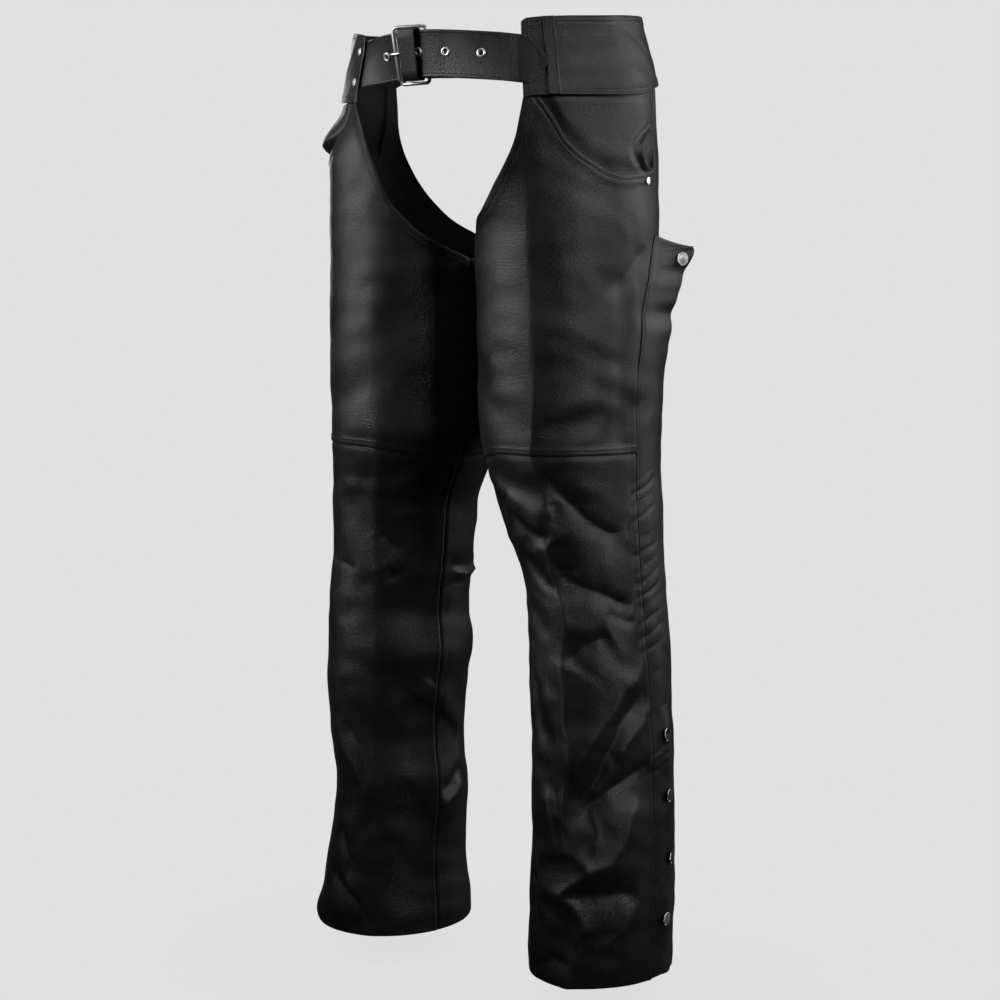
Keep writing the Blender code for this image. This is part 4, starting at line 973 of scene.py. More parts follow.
# %% Thigh, shin and calf
def mouth_lift(side, degrees, height):
    """The pocket's turned mouth stands a little off the hip."""
    below = POCKET_MOUTH[side][0][0]
    near = 1 - smooth((pocket_mouth[side](degrees) - height) / 0.020)
    return 0.0012 * near * smooth((degrees - below) / 25)


FLAP_SINK, FLAP_COLUMN, SHIFT_STARTS = 0.0009, 84.0, 60


def beside_flap(degrees, height, panel):
    """Shifts the columns round FLAP_COLUMN so that they run along the flap's sewn edge."""
    line = flap_line(height)
    if panel == "thigh_front":
        line = FLAP_COLUMN + (line - FLAP_COLUMN) * (1 - smooth((height + 0.36) / 0.05))
    before = (degrees - SHIFT_STARTS) / (FLAP_COLUMN - SHIFT_STARTS)
    after = (OUTSEAM - degrees) / (OUTSEAM - FLAP_COLUMN)
    share = np.clip(np.where(degrees < FLAP_COLUMN, before, after), 0, 1)
    return degrees + (line - FLAP_COLUMN) * share


def sink_lift(side, degrees, height):
    """The leg rises to the flap's sewn edge and dips beneath it, so that the two lie almost flush."""
    across = past_flap_line(side, degrees, height)
    beneath = smooth((across + 0.0010) / 0.0005)
    rise = FLAP_SINK * smooth((across + 0.0085) / 0.0030) * (1 - beneath)
    return rise - FLAP_SINK * beneath * (1 - smooth((across - 0.004) / 0.018))


def front_point(side, degrees, height, panel):
    lift = seam_relief(side, degrees, height, panel) + pucker_lift(side, degrees, height)
    lift = lift + sink_lift(side, degrees, height) * smooth((-0.315 - height) / 0.04)
    return leg_surface(side, degrees, height, lift + mouth_lift(side, degrees, height))


def back_point(side, degrees, height, panel):
    return leg_surface(side, degrees, height, seam_relief(side, degrees, height, panel))


FLAP_EDGE_COLUMNS = np.array([76, 78, 79, 80.5, 82, 83, 83.3, 83.5, 83.7, 83.9, 84.3, 85.5, 87.5, 91])
THIGH_FRONT_COLUMNS = joined(
    spaced(-73, -8, 2.0), spaced(-8, 21, 0.75), spaced(21, 76, 2.1), FLAP_EDGE_COLUMNS, spaced(91, 112, 2.1),
)
THIGH_BACK_COLUMNS = joined(spaced(112, 130, 0.8), spaced(130, 165, 1.6), spaced(165, 287, 2.6))
SHIN_COLUMNS = joined(
    spaced(-73, -8, 2.2), spaced(-8, 30, 1.4), spaced(30, 76, 2.0), FLAP_EDGE_COLUMNS, spaced(91, 112, 2.4),
)
CALF_COLUMNS = spaced(112, 287, 2.4)
SHIN_FIELD = joined(np.linspace(1, 1.55, 96), np.linspace(1.55, 2, 110))


def make_leg(side):
    def knee(degrees, gaps):
        """The knee seam's line, moved up by so many halves of the seam's gap."""
        return knee_height(side, degrees) + gaps * SEAM_GAP / 2

    def lay(panel, columns, field, edges):
        """Lays a panel between its lower and upper edge, whose heights edges(angle) gives."""

        def place(degrees, share):
            height = banded(*edges(degrees), share)
            if panel.endswith("front"):
                degrees = beside_flap(inside_seams(degrees, INSEAM, OUTSEAM), height, panel)
                return front_point(side, degrees, height, panel)
            return back_point(side, inside_seams(degrees, OUTSEAM, INSEAM + 360), height, panel)

        lay_panel(f"{panel}_{side}", columns, band_rows(field), place, side=side)

    lay("thigh_front", THIGH_FRONT_COLUMNS, np.linspace(1, 2, 70), lambda d: (knee(d, 1), front_top(side, d)))
    lay("shin_front", SHIN_COLUMNS, SHIN_FIELD, lambda d: (HEM[side], knee(d, -1)))
    lay("thigh_back", THIGH_BACK_COLUMNS, np.linspace(1, 2, 56), lambda d: (knee(d, 2), back_top(side, d)))
    lay("calf_back", CALF_COLUMNS, np.linspace(1, 2, 140), lambda d: (HEM[side], knee(d, -2)))


for side in SIDES:
    make_leg(side)
print("areas, m2:", {name: round(area_of(piece), 4) for name, piece in panels.items()})

# %% [markdown]
# ## Pocket facing and zip flap
# The facing is the layer seen inside the slanting pocket. On the right hip it puffs out. The flap is one long
# strip: its front edge is sewn down, the rest is held by snaps, and its open top stands away from the leg.

# %% The facing behind each pocket
FACING_BELOW_MOUTH, FACING_DEPTH, FACING_RISE = 0.014, 0.0027, 0.025
# angle of the bulge's middle, how far it stands out, how many degrees it spreads over
FACING_BULGE = {"left": (96, 0.0018, 12), "right": (55, 0.0170, 24)}
FACING_FIRST, FACING_FOLDS_END = {"left": 17.0, "right": 11.0}, 110.6
# The facing's back edge is tucked under the back thigh panel: between these angles, by this depth
FACING_TUCK, FACING_TUCKED = (110.8, 111.9), 0.0022
FACING_TUCK_COLUMNS = np.array([110.6, 110.9, 111.3, 111.9, 114])
# The left facing has one fold in the shape of a crescent. Its ridge has a hollow in front of it; each has a
# lift and a spread.
CRESCENT_ANGLE, CRESCENT_SWEEP, CRESCENT_HEIGHT, CRESCENT_REACH = 92, 9, -0.096, 0.018
CRESCENT_RIDGE, CRESCENT_HOLLOW, HOLLOW_AHEAD = (0.0032, 2.6), (0.0016, 4.0), 7


def facing_point(side, degrees, share):
    low = pocket_mouth[side](degrees) - FACING_BELOW_MOUTH
    high = yoke_bottom[side](waist_angle(side, degrees)) + LAP
    height = low + (high - low) * share
    above = height - pocket_mouth[side](degrees)
    lift = -FACING_DEPTH * (1 - smooth(above / FACING_RISE))
    middle, bulge, spread = FACING_BULGE[side]
    below = high - LAP - height
    along = smooth((above - 0.002) / 0.007) * smooth(below / 0.003)
    along = along * (0.35 + 0.65 * np.clip(below / 0.045, 0, 1))
    lift = lift + bulge * bump(degrees - middle, spread) * along
    if side == "left":
        crescent = CRESCENT_ANGLE + CRESCENT_SWEEP * ((height - CRESCENT_HEIGHT) / CRESCENT_REACH) ** 2
        near_mouth = smooth((above + 0.002) / 0.005) * smooth((-0.058 - height) / 0.02)
        ridge = CRESCENT_RIDGE[0] * bump(degrees - crescent, CRESCENT_RIDGE[1])
        hollow = CRESCENT_HOLLOW[0] * bump(degrees - crescent + HOLLOW_AHEAD, CRESCENT_HOLLOW[1])
        lift = lift + near_mouth * (ridge - hollow)
    tucked = smooth((degrees - FACING_TUCK[0]) / (FACING_TUCK[1] - FACING_TUCK[0]))
    lift = lift + (np.minimum(lift, -FACING_TUCKED) - lift) * tucked
    return leg_point(side, degrees, height, lift)


for side in SIDES:
    columns = joined(spaced(FACING_FIRST[side], FACING_FOLDS_END, 1.4), FACING_TUCK_COLUMNS)
    rows = np.linspace(0, 1, 44)
    lay_panel(f"hip_facing_{side}", columns, rows, lambda c, s: facing_point(side, c, s), side=side)
print("facing areas, m2:", {side: round(area_of(panels[f"hip_facing_{side}"]), 4) for side in SIDES})

# %% The flap over each zip
FLAP_STAND_OFF = (
    (-0.400, 0.0), (-0.365, 0.12), (-0.330, 0.27), (-0.290, 0.52), (-0.260, 1.0), (-0.180, 1.0),
)
FLAP_KICK = ((-0.262, 0.0), (-0.240, 0.006), (-0.219, 0.015), (-0.205, 0.024), (-0.180, 0.028))
FLAP_WIDTH = ((-1.030, 0.060), (-0.450, 0.060), (-0.300, 0.061), (-0.180, 0.062))
FLAP_TOP, FLAP_TOP_SLOPE, FLAP_ABOVE_HEM, FLAP_GAP = -0.186, 0.015, 0.003, 0.0011
flap_stand_off, flap_kick, flap_width = curve(FLAP_STAND_OFF), curve(FLAP_KICK), curve(FLAP_WIDTH)
# The snaps sit in front of the stiff zip, so the flap swells behind them: height, share of the flap's width.
SWELL_MIDDLE = (
    (-1.0, 0.44), (-0.946, 0.44), (-0.878, 0.66), (-0.806, 0.60), (-0.736, 0.52), (-0.60, 0.52),
)
FLAP_SWELL, SWELL_SPREAD = 0.0030, 0.21
swell_middle = curve(SWELL_MIDDLE)
# Sewn, free and top edge, as for the other turned edges, and where the two long rows of stitches run
FLAP_SPAN, FLAP_ROWS = 0.060, (0.040, 0.908)
SEWN_HEM, FREE_HEM, TOP_HEM = (0.0065, 0.0002, 0.0024), (0.0075, 0.0005, 0.0055), (0.0080, 0.0005, 0.0060)


def flap_inner(side, across, height):
    """Points of the flap's inner face, from its sewn edge (0) to its free edge (1)."""
    height = height - FLAP_TOP_SLOPE * across * smooth((height - FLAP_TOP + 0.075) / 0.075)
    width = flap_width(height) * across
    sewn = flap_line(height)
    around = sewn + np.degrees(width / FLAT_RADIUS)
    gap = SEAM_GAP + (FLAP_GAP - SEAM_GAP) * smooth(across / 0.22) - FLAP_SINK * (1 - smooth(across / 0.30))
    swell = FLAP_SWELL * bump(across - swell_middle(height), SWELL_SPREAD) * smooth((-0.70 - height) / 0.03)
    close = leg_point(side, around, height, gap + swell + pucker_lift(side, around, height))
    start, normal = leg_surface(side, sewn, height), leg_normal(side, sewn, height)
    along = leg_surface(side, sewn + 1, height) - start
    along /= np.linalg.norm(along, axis=-1, keepdims=True)
    free = start + along * width[..., None] + normal * (FLAP_GAP + flap_kick(height) * across**2)[..., None]
    return close + (free - close) * (flap_stand_off(height) * smooth(across * 3))[..., None]


def flap_relief(across, height):
    """Turned and stitched edges along the sewn side, the free side and the top."""
    lift = hem_relief(across * FLAP_SPAN, *SEWN_HEM) + hem_relief((1 - across) * FLAP_SPAN, *FREE_HEM)
    return lift + hem_relief(FLAP_TOP - height, *TOP_HEM)


def flap_outer(side, across, height):
    normal = facing_out(lambda a, h: flap_inner(side, a, h), across, height, side, (0.01, 0.002))
    return flap_inner(side, across, height) + normal * (LEATHER + flap_relief(across, height))[..., None]


FLAP_COLUMNS = joined(np.linspace(0, 0.14, 7), np.linspace(0.14, 0.84, 12), np.linspace(0.84, 1, 8))
for side in SIDES:
    bottom = HEM[side] + FLAP_ABOVE_HEM
    rows = joined(
        spaced(bottom, -0.79, 0.0040), spaced(-0.79, -0.44, 0.0021), spaced(-0.44, FLAP_TOP - 0.012, 0.0040),
        spaced(FLAP_TOP - 0.012, FLAP_TOP, 0.0013),
    )
    lay_panel(f"zip_flap_{side}", FLAP_COLUMNS, rows, lambda a, h: flap_outer(side, a, h), side=side)
print("flap length:", round(FLAP_TOP - HEM["left"], 3), "m")

# %% [markdown]
# ## The yoke, the loop strip and the belt
# The yoke is two layers of hide with turned edges, so it is stiffer and stays smooth. The belt is a strap
# with a point: its tip passes under the roller and over the bar, through the keeper, and lies over the left
# half of the yoke.

# %% The yoke
YOKE_FRONT, YOKE_RADIUS = {"left": 40.3, "right": 31.5}, 0.16
TOP_EDGE, LOW_EDGE, FRONT_END = (0.0080, 0.0005, 0.0055), (0.0085, 0.0005, 0.0030), (0.0070, 0.0005, 0.0050)
LOW_SECOND_ROW = 0.0068


def yoke_point(side, degrees, share):
    low, high = yoke_bottom[side](degrees), yoke_top[side](degrees)
    height = low + (high - low) * share
    seed = 3 if side == "left" else 6
    from_top, from_bottom = high - height, height - low
    from_front = np.radians(degrees - YOKE_FRONT[side]) * YOKE_RADIUS
    lift = hem_relief(from_top, *TOP_EDGE) + hem_relief(from_bottom, *LOW_EDGE)
    lift = lift - STITCH_DIP * bump(from_bottom - LOW_SECOND_ROW, DIP_HALF)
    lift = lift + hem_relief(from_front, *FRONT_END)
    lift = lift + 0.0005 * uneven(degrees * 1.6, height, 0.050, seed)
    lift = lift + 0.0004 * uneven(degrees * 1.6, height, 0.022, seed)
    slant = (height - 0.028) + 0.0016 * (degrees - 92)
    lift = lift - 0.0011 * bump(slant, 0.006) * bump(degrees - 98, 11) * (side == "left")
    return waist_point(side, degrees, height, YOKE_LEATHER + lift)


for side in SIDES:
    first = YOKE_FRONT[side]
    columns = joined(np.linspace(first, first + 3.5, 9), spaced(first + 3.5, 179.95, 1.15))
    shares = joined(np.linspace(0, 0.14, 10), np.linspace(0.14, 0.86, 20), np.linspace(0.86, 1, 9))
    lay_panel(f"yoke_{side}", columns, shares, lambda c, s: yoke_point(side, c, s), YOKE_LEATHER, side)
print("yoke areas, m2:", {side: round(area_of(panels[f"yoke_{side}"]), 4) for side in SIDES})

# %% The belt's straps
BELT_LEATHER, BUCKLE_LEATHER, KEEPER_LEATHER, LOOP_LEATHER = 0.0028, 0.0024, 0.0013, 0.0017
BELT_HALF, BELT_RADIUS = 0.0254, 0.180
TIP_LIFT = (
    (-41, -0.0004), (-30, -0.0006), (-20, -0.0022), (-11, -0.0034), (-6.4, -0.0034), (-3.6, -0.0020),
    (0, 0.0012), (7, 0.0012), (14, 0.0), (25, 0.0004), (33, 0.0024), (37, 0.0043), (40, 0.0060),
    (46.0, 0.0060), (48.3, 0.0080),
)
TIP_SHOULDER, TIP_END, TIP_BLUNT = 42.6, 50.0, 0.0016
BUCKLE_STRAP_LIFT = ((33, -0.0035), (39.5, -0.0006), (60, -0.0004))
HEEL_BAR_ANGLE, HEEL_BAR_LIFT = 3.6, -0.0084
BEND, WIRE_RADIUS = 10.0, 0.0020
STRAPS_START, STRAP_STITCH = 50, 0.0040
tip_lift, buckle_strap_lift = curve(TIP_LIFT), curve(BUCKLE_STRAP_LIFT)


def strap_relief(away):
    """A strap's edge: a slightly raised band with a rounded rim, which dips along its stitches."""
    band = 0.00035 * (1 - smooth((away - 0.0046) / 0.0015))
    return band - 0.0006 * bump(away, 0.0011) - 0.0005 * bump(away - STRAP_STITCH, 0.0009)


def tip_half(degrees):
    share = np.clip((degrees - TIP_SHOULDER) / (TIP_END - TIP_SHOULDER), 0, 1)
    return BELT_HALF + (TIP_BLUNT - BELT_HALF) * share


def tip_point(degrees, share):
    half = tip_half(degrees)
    up = half * (2 * share - 1)
    away = half - np.abs(up)
    return belt_point(degrees, up, tip_lift(degrees) + strap_relief(away))


def buckle_strap_point(column, share):
    """The under strap, by degrees past the heel bar: from inside the left yoke (below 0), round the bar and
    back."""
    up = BELT_HALF * (2 * share - 1)
    turn = BUCKLE_LEATHER + WIRE_RADIUS + 0.0005
    away = strap_relief(BELT_HALF - np.abs(up))
    before = HEEL_BAR_ANGLE - column
    outer = belt_point(before, up, buckle_strap_lift(before) + away)
    inner = belt_point(HEEL_BAR_ANGLE + column - BEND, up, HEEL_BAR_LIFT - turn + 0 * up)
    angle = math.pi * np.clip(column / BEND, 0, 1)
    aside = np.degrees(turn * np.sin(angle) / BELT_RADIUS)
    round_it = belt_point(HEEL_BAR_ANGLE - aside, up, HEEL_BAR_LIFT + turn * np.cos(angle))
    column = column[..., None]
    return np.where(column <= 0, outer, np.where(column >= BEND, inner, round_it))


strap_rows = joined(np.linspace(0, 0.12, 8), np.linspace(0.12, 0.88, 22), np.linspace(0.88, 1, 8))
lay_panel("belt_tip_strap", spaced(-STRAPS_START, TIP_END, 0.5), strap_rows, tip_point, BELT_LEATHER)
columns = joined(
    spaced(HEEL_BAR_ANGLE - STRAPS_START, 0, 0.8), np.linspace(0, BEND, 15), spaced(BEND, BEND + 10, 1.0),
)
lay_panel("belt_buckle_strap", columns, strap_rows, buckle_strap_point, BUCKLE_LEATHER, "right")
print("belt strap:", round(math.radians(TIP_END + STRAPS_START) * BELT_RADIUS, 3), "m long")

# %% Keeper and loop strip
KEEPER_ANGLES, KEEPER_FRONT = (-5.0, 1.6), (0.0077, 0.0052)
KEEPER_BACK, KEEPER_HALF, KEEPER_CORNER = -0.0066, 0.0262, 0.0012
LOOP_ANGLES, LOOP_HALF, LOOP_OFF_YOKE = (48.6, 53.2), 0.0072, 0.0006


def keeper_point(column, share):
    """The keeper's inner face: once round the strap, from the middle of the back."""
    degrees = KEEPER_ANGLES[0] + (KEEPER_ANGLES[1] - KEEPER_ANGLES[0]) * share
    front = KEEPER_FRONT[0] + (KEEPER_FRONT[1] - KEEPER_FRONT[0]) * share
    half, cut = KEEPER_HALF, KEEPER_CORNER
    # Eleven stops: up the back from its middle, over the top, down the front and back underneath
    rise = np.array([0.0002, half - cut, half, half, half - cut])
    ups = np.concatenate([rise, [0.0], -rise[::-1]])
    back = KEEPER_BACK + 0 * front
    outward = [back, back, back + cut, front - cut, front]
    level = np.stack([*outward, front, *outward[::-1]])
    place = np.clip(column, 0, 9.999)
    low = place.astype(int)
    step = place - low
    pick = np.arange(level.shape[1])
    lift = level[low, pick] * (1 - step) + level[low + 1, pick] * step
    return belt_point(degrees, ups[low] * (1 - step) + ups[low + 1] * step, lift)


def loop_point(degrees, share):
    low, high = yoke_bottom["left"](degrees) + 0.001, yoke_top["left"](degrees)
    height = low + (high - low) * share
    middle = 0.5 * (LOOP_ANGLES[0] + LOOP_ANGLES[1])
    away = LOOP_HALF - np.radians(np.abs(degrees - middle)) * BELT_RADIUS
    lift = YOKE_LEATHER + SEAM_GAP + LOOP_LEATHER + LOOP_OFF_YOKE + strap_relief(away)
    return waist_point("left", degrees, height, lift)


columns = [stop + part for stop in range(10) for part in (0, 0.34, 0.67)] + [10]
rows = np.linspace(0, 1, 12)
lay_panel("belt_keeper", columns, rows, keeper_point, KEEPER_LEATHER, outside=KEEPER_LEATHER)
lay_panel("belt_loop_left", np.linspace(*LOOP_ANGLES, 15), np.linspace(0, 1, 40), loop_point, LOOP_LEATHER)
print("panels and straps:", len(panels))

# %% [markdown]
# ## Stitches
# Chaps are sewn with heavy thread at about seven stitches to the inch. Each stitch is a short, round-ended
# bar that sinks into the leather at both ends. One is modelled, and its copies are joined into one mesh for
# each side, because thousands of separate pieces would be slow to handle.

# %% One stitch and rows of it
STITCH_PITCH, STITCH_LENGTH, STITCH_WIDTH, STITCH_RISE = 0.0037, 0.0030, 0.00078, 0.00012


def model_stitch():
    stitch = add_primitive(
        "one_stitch", bpy.ops.mesh.primitive_cylinder_add,
        vertices=6, radius=0.5, depth=0.62, rotation=(0, math.pi / 2, 0),
    )
    bpy.ops.object.transform_apply(rotation=True)
    bpy.ops.object.mode_set(mode="EDIT")
    for end in (-1, 1):
        bpy.ops.mesh.select_all(action="DESELECT")
        shape = bmesh.from_edit_mesh(stitch.data)
        for face in shape.faces:
            face.select = face.normal.x * end > 0.9
        bmesh.update_edit_mesh(stitch.data)
        bpy.ops.mesh.extrude_region_move(TRANSFORM_OT_translate={"value": (end * 0.19, 0, -0.35)})
        bpy.ops.transform.resize(value=(1, 0.45, 0.45))
    bpy.ops.object.mode_set(mode="OBJECT")
    # Extruding can number the points differently in each run, so points and faces are put in a fixed order.
    points = np.array([vert.co for vert in stitch.data.vertices])
    order = np.lexsort(points.T)
    place = np.argsort(order)
    faces = sorted(tuple(int(place[corner]) for corner in face.vertices) for face in stitch.data.polygons)
    bpy.data.objects.remove(stitch)
    return points[order], faces


stitch_points, stitch_faces = model_stitch()
stitch_rows = {"left": [], "right": [], "belt": []}


def sew(group, path, normals):
    """Puts stitches along a path of points that has an outward direction at each."""
    steps = np.linalg.norm(np.diff(path, axis=0), axis=1)
    run = np.concatenate([[0], np.cumsum(steps)])
    count = max(1, int(run[-1] / STITCH_PITCH))
    middles = (np.arange(count) + 0.5) * run[-1] / count
    centre, ahead, behind, out = (
        np.stack([np.interp(middles + shift, run, values[:, i]) for i in range(3)], -1)
        for shift, values in ((0, path), (0.0015, path), (-0.0015, path), (0, normals))
    )
    along = ahead - behind
    along /= np.linalg.norm(along, axis=1, keepdims=True)
    across = np.cross(out, along)
    across /= np.linalg.norm(across, axis=1, keepdims=True)
    out = np.cross(along, across)
    local = stitch_points * np.array([STITCH_LENGTH, STITCH_WIDTH, STITCH_WIDTH])
    frames = np.stack([along, across, out], 1)
    points = centre[:, None] + np.einsum("kj,njc->nkc", local, frames) + out[:, None] * STITCH_RISE
    stitch_rows[group].append(points)


def sew_on(group, side, place, first, second, steps=(0.4, 0.0012)):
    """A row of stitches through the points place(first, second)."""
    first, second = np.broadcast_arrays(np.asarray(first, float), np.asarray(second, float))
    sew(group, place(first, second), facing_out(place, first, second, side, steps))


def inset(side, line, distance):
    """A line of (angle, height) moved into the panel by this distance."""
    x, z = spread_flat(side, line[:, 0], line[:, 1])
    reach = x / np.radians(line[:, 0] + 1e-9)
    step_x, step_z = np.gradient(x), np.gradient(z)
    size = np.hypot(step_x, step_z)
    return line[:, 0] + np.degrees(step_z / size * distance / reach), z - step_x / size * distance


# %% Sewing the legs and yokes
def sew_leg(side):
    def sew_panel(panel, degrees, height):
        point = front_point if panel.endswith("front") else back_point
        sew_on(side, side, lambda d, h: point(side, d, h, panel), degrees, height)

    def sew_edge(panel, edge, distance, wanted):
        """A row this far in from an open edge, where wanted(angle, height) holds."""
        degrees, height = inset(side, EDGE_LINES[side][edge], distance)
        row = wanted(degrees, height)
        sew_panel(panel, degrees[row], height[row])

    sew_edge("thigh_front", "front", OPEN_HEM[2], lambda d, h: (h < -0.050) & (d > INSEAM + 1))
    for distance in (MOUTH_HEM[2], MOUTH_SECOND_ROW):
        sew_edge("thigh_front", "mouth", distance, lambda d, h: (h < -0.046) & (d < OUTSEAM - 1))
    sew_edge("thigh_back", "back", OPEN_HEM[2], lambda d, h: (d > 123) & (d < 286))
    for panel, first, last in (("thigh_front", INSEAM + 1, OUTSEAM), ("thigh_back", OUTSEAM, INSEAM + 359)):
        angles = spaced(first, last, 1.5)
        sew_panel(panel, angles, knee_height(side, angles) + KNEE_HEM[2])
    knee = float(knee_height(side, INSEAM))
    sew_panel("thigh_front", INSEAM + 2.4, spaced(knee + 0.008, -0.222, 0.004))
    sew_panel("shin_front", INSEAM + 2.8, spaced(HEM[side] + 0.004, knee - 0.004, 0.004))

    def sew_flap(across, height):
        sew_on(side, side, lambda a, h: flap_outer(side, a, h), across, height, (0.01, 0.002))

    bottom = HEM[side] + FLAP_ABOVE_HEM
    for across in FLAP_ROWS:
        sew_flap(across, spaced(bottom + 0.003, FLAP_TOP - 0.007, 0.004))
    sew_flap(spaced(0.06, 0.90, 0.04), FLAP_TOP - TOP_HEM[2])


def sew_yoke(side):
    def yoke(degrees, height):
        low, high = yoke_bottom[side](degrees), yoke_top[side](degrees)
        return yoke_point(side, degrees, (height - low) / (high - low))

    first = YOKE_FRONT[side] + 1.9
    angles = spaced(first, 179.9, 1.0)
    sew_on(side, side, yoke, angles, yoke_top[side](angles) - TOP_EDGE[2])
    for rise in (LOW_EDGE[2], LOW_SECOND_ROW):
        sew_on(side, side, yoke, angles, yoke_bottom[side](angles) + rise)
    low, high = float(yoke_bottom[side](first)), float(yoke_top[side](first))
    sew_on(side, side, yoke, first, spaced(low + 0.009, high - 0.007, 0.004))


for side in SIDES:
    sew_leg(side)
    sew_yoke(side)
print("rows of stitches:", {side: len(stitch_rows[side]) for side in SIDES})


# %% Sewing the belt
def sew_belt():
    def tip(degrees, up):
        return tip_point(degrees, (up / tip_half(degrees) + 1) / 2)

    for end in (-1, 1):
        angles = spaced(-48, TIP_SHOULDER, 1.0)
        sew_on("belt", "left", tip, angles, end * (BELT_HALF - STRAP_STITCH), (0.3, 0.0005))
        angles = spaced(TIP_SHOULDER + 0.2, TIP_END - 1.6, 0.3)
        sew_on("belt", "left", tip, angles, end * (tip_half(angles) - STRAP_STITCH), (0.1, 0.0002))
        columns = spaced(HEEL_BAR_ANGLE - STRAPS_START, -1.0, 1.0)
        share = 0.5 + end * (0.5 - STRAP_STITCH / (2 * BELT_HALF))
        sew_on("belt", "right", buckle_strap_point, columns, share, (0.3, 0.005))
    for degrees in (LOOP_ANGLES[0] + 0.9, LOOP_ANGLES[1] - 0.9):
        sew_on("belt", "left", loop_point, degrees, spaced(0.02, 0.98, 0.03), (0.2, 0.01))


sew_belt()


def join_stitches(group, name):
    points = np.concatenate(stitch_rows[group]).reshape(-1, 3)
    count, size = len(points) // len(stitch_points), len(stitch_points)
    faces = [tuple(v + i * size for v in face) for i in range(count) for face in stitch_faces]
    mesh = bpy.data.meshes.new(name)
    mesh.from_pydata(points.tolist(), [], faces)
    mesh.shade_smooth()
    mesh.materials.append(thread)
    print(name, "holds", count, "stitches")
    return add_object(name, mesh)


STITCHING = {"left": "stitching_left_leg", "right": "stitching_right_leg", "belt": "stitching_belt"}
stitching = [join_stitches(group, name) for group, name in STITCHING.items()]

# %% [markdown]
# ## Snaps, rivets and eyelets
# A snap cap is a thin disc pressed into a dome, with its rim rolled under. A rivet cap is the same thing,
# smaller. They are modelled once as by hand: a cylinder is added, its top inset and raised, and its edges
# rounded with a bevel. An eyelet is a tube with a rolled collar: a ring, flattened.


# %% Modelling the caps
def edit_faces(piece, wanted, action):
    """Selects the faces that wanted(face) picks, runs the action in edit mode and leaves it."""
    bpy.ops.object.mode_set(mode="EDIT")
    bpy.ops.mesh.select_mode(type="FACE")
    bpy.ops.mesh.select_all(action="DESELECT")
    shape = bmesh.from_edit_mesh(piece.data)
    for face in shape.faces:
        face.select = bool(wanted(face))
    bmesh.update_edit_mesh(piece.data)
    action()
    bpy.ops.object.mode_set(mode="OBJECT")


def model_cap(name, radius, height, dish, metal):
    """A domed cap on z = 0: dish sinks a shallow ring inside the rim."""
    cap = add_primitive(
        name, bpy.ops.mesh.primitive_cylinder_add,
        vertices=48, radius=radius, depth=0.45 * height, location=(0, 0, 0.225 * height),
    )
    bpy.ops.object.transform_apply(location=True)

    def raise_dome():
        for share, rise in ((0.10, 0.22), (0.16, -dish), (0.22, 0.16), (0.28, 0.12), (0.34, 0.05)):
            bpy.ops.mesh.inset(thickness=share * radius, depth=rise * height)

    edit_faces(cap, lambda face: face.normal.z > 0.9, raise_dome)
    round_edges(cap, 0.10 * radius, 2, 35)
    cap.data.materials.append(metal)
    cap.data.shade_smooth()
    return cap


def model_eyelet(name):
    ring = add_primitive(
        name, bpy.ops.mesh.primitive_torus_add,
        major_radius=0.0038, minor_radius=0.00135, major_segments=40, minor_segments=12,
        location=(0, 0, 0.0002),
    )
    bpy.ops.object.mode_set(mode="EDIT")
    bpy.ops.mesh.select_all(action="SELECT")
    bpy.ops.transform.resize(value=(1, 1, 0.8), center_override=(0, 0, 0))
    bpy.ops.mesh.select_all(action="DESELECT")
    shape = bmesh.from_edit_mesh(ring.data)
    for vert in shape.verts:
        vert.select = math.hypot(vert.co.x, vert.co.y) < 0.0031 and vert.co.z < 0.0005
    shape.select_flush(True)
    bmesh.update_edit_mesh(ring.data)
    bpy.ops.transform.translate(value=(0, 0, -0.0022))
    bpy.ops.object.mode_set(mode="OBJECT")
    bpy.ops.object.transform_apply(location=True)
    ring.data.materials.append(nickel)
    ring.data.shade_smooth()
    return ring


snap_cap = model_cap("snap_cap", 0.0075, 0.0021, 0.06, snap_nickel)
rivet_cap = model_cap("rivet_cap", 0.0044, 0.0018, 0.0, nickel)
eyelet_ring = model_eyelet("eyelet_ring")


# %% Setting them in place
def frame_at(place, outward, up):
    """A matrix at this place whose Z points outward."""
    outward = Vector(outward).normalized()
    across = Vector(up).cross(outward).normalized()
    turn = Matrix((across, outward.cross(across), outward)).transposed()
    return Matrix.Translation(Vector(place)) @ turn.to_4x4()


def seated(piece, matrix, radius, gap):
    """This frame moved along its Z until a cap of this radius rests on the piece."""
    outward = matrix.col[2].xyz
    points, faces = [vert.co for vert in piece.data.vertices], [face.vertices for face in piece.data.polygons]
    tree = BVHTree.FromPolygons(points, faces)
    highest = -1.0
    for ring in (0.0, 0.5, 0.8, 1.0):
        for step in range(16):
            angle = math.tau * step / 16
            aside = ring * radius
            start = matrix @ Vector((aside * math.cos(angle), aside * math.sin(angle), 0.02))
            hit = tree.ray_cast(start, -outward, 0.04)[0]
            if hit:
                highest = max(highest, (hit - matrix.translation).dot(outward))
    return Matrix.Translation(outward * (highest + gap)) @ matrix


hardware = {}


def set_on(under, model, node, place, side, spot, steps, radius, gap=0.0002):
    """A copy of the model with its own mesh, seated on the piece under it where place(*spot) says."""
    first, second = (np.array([float(value)]) for value in spot)
    outward = facing_out(place, first, second, side, steps)[0]
    matrix = seated(under, frame_at(place(first, second)[0], outward, (0, 0, 1)), radius, gap)
    copy = add_object(f"{node}_nickel", model.data.copy())
    copy.data.name = copy.name
    copy.data.transform(matrix)
    hardware[node] = copy


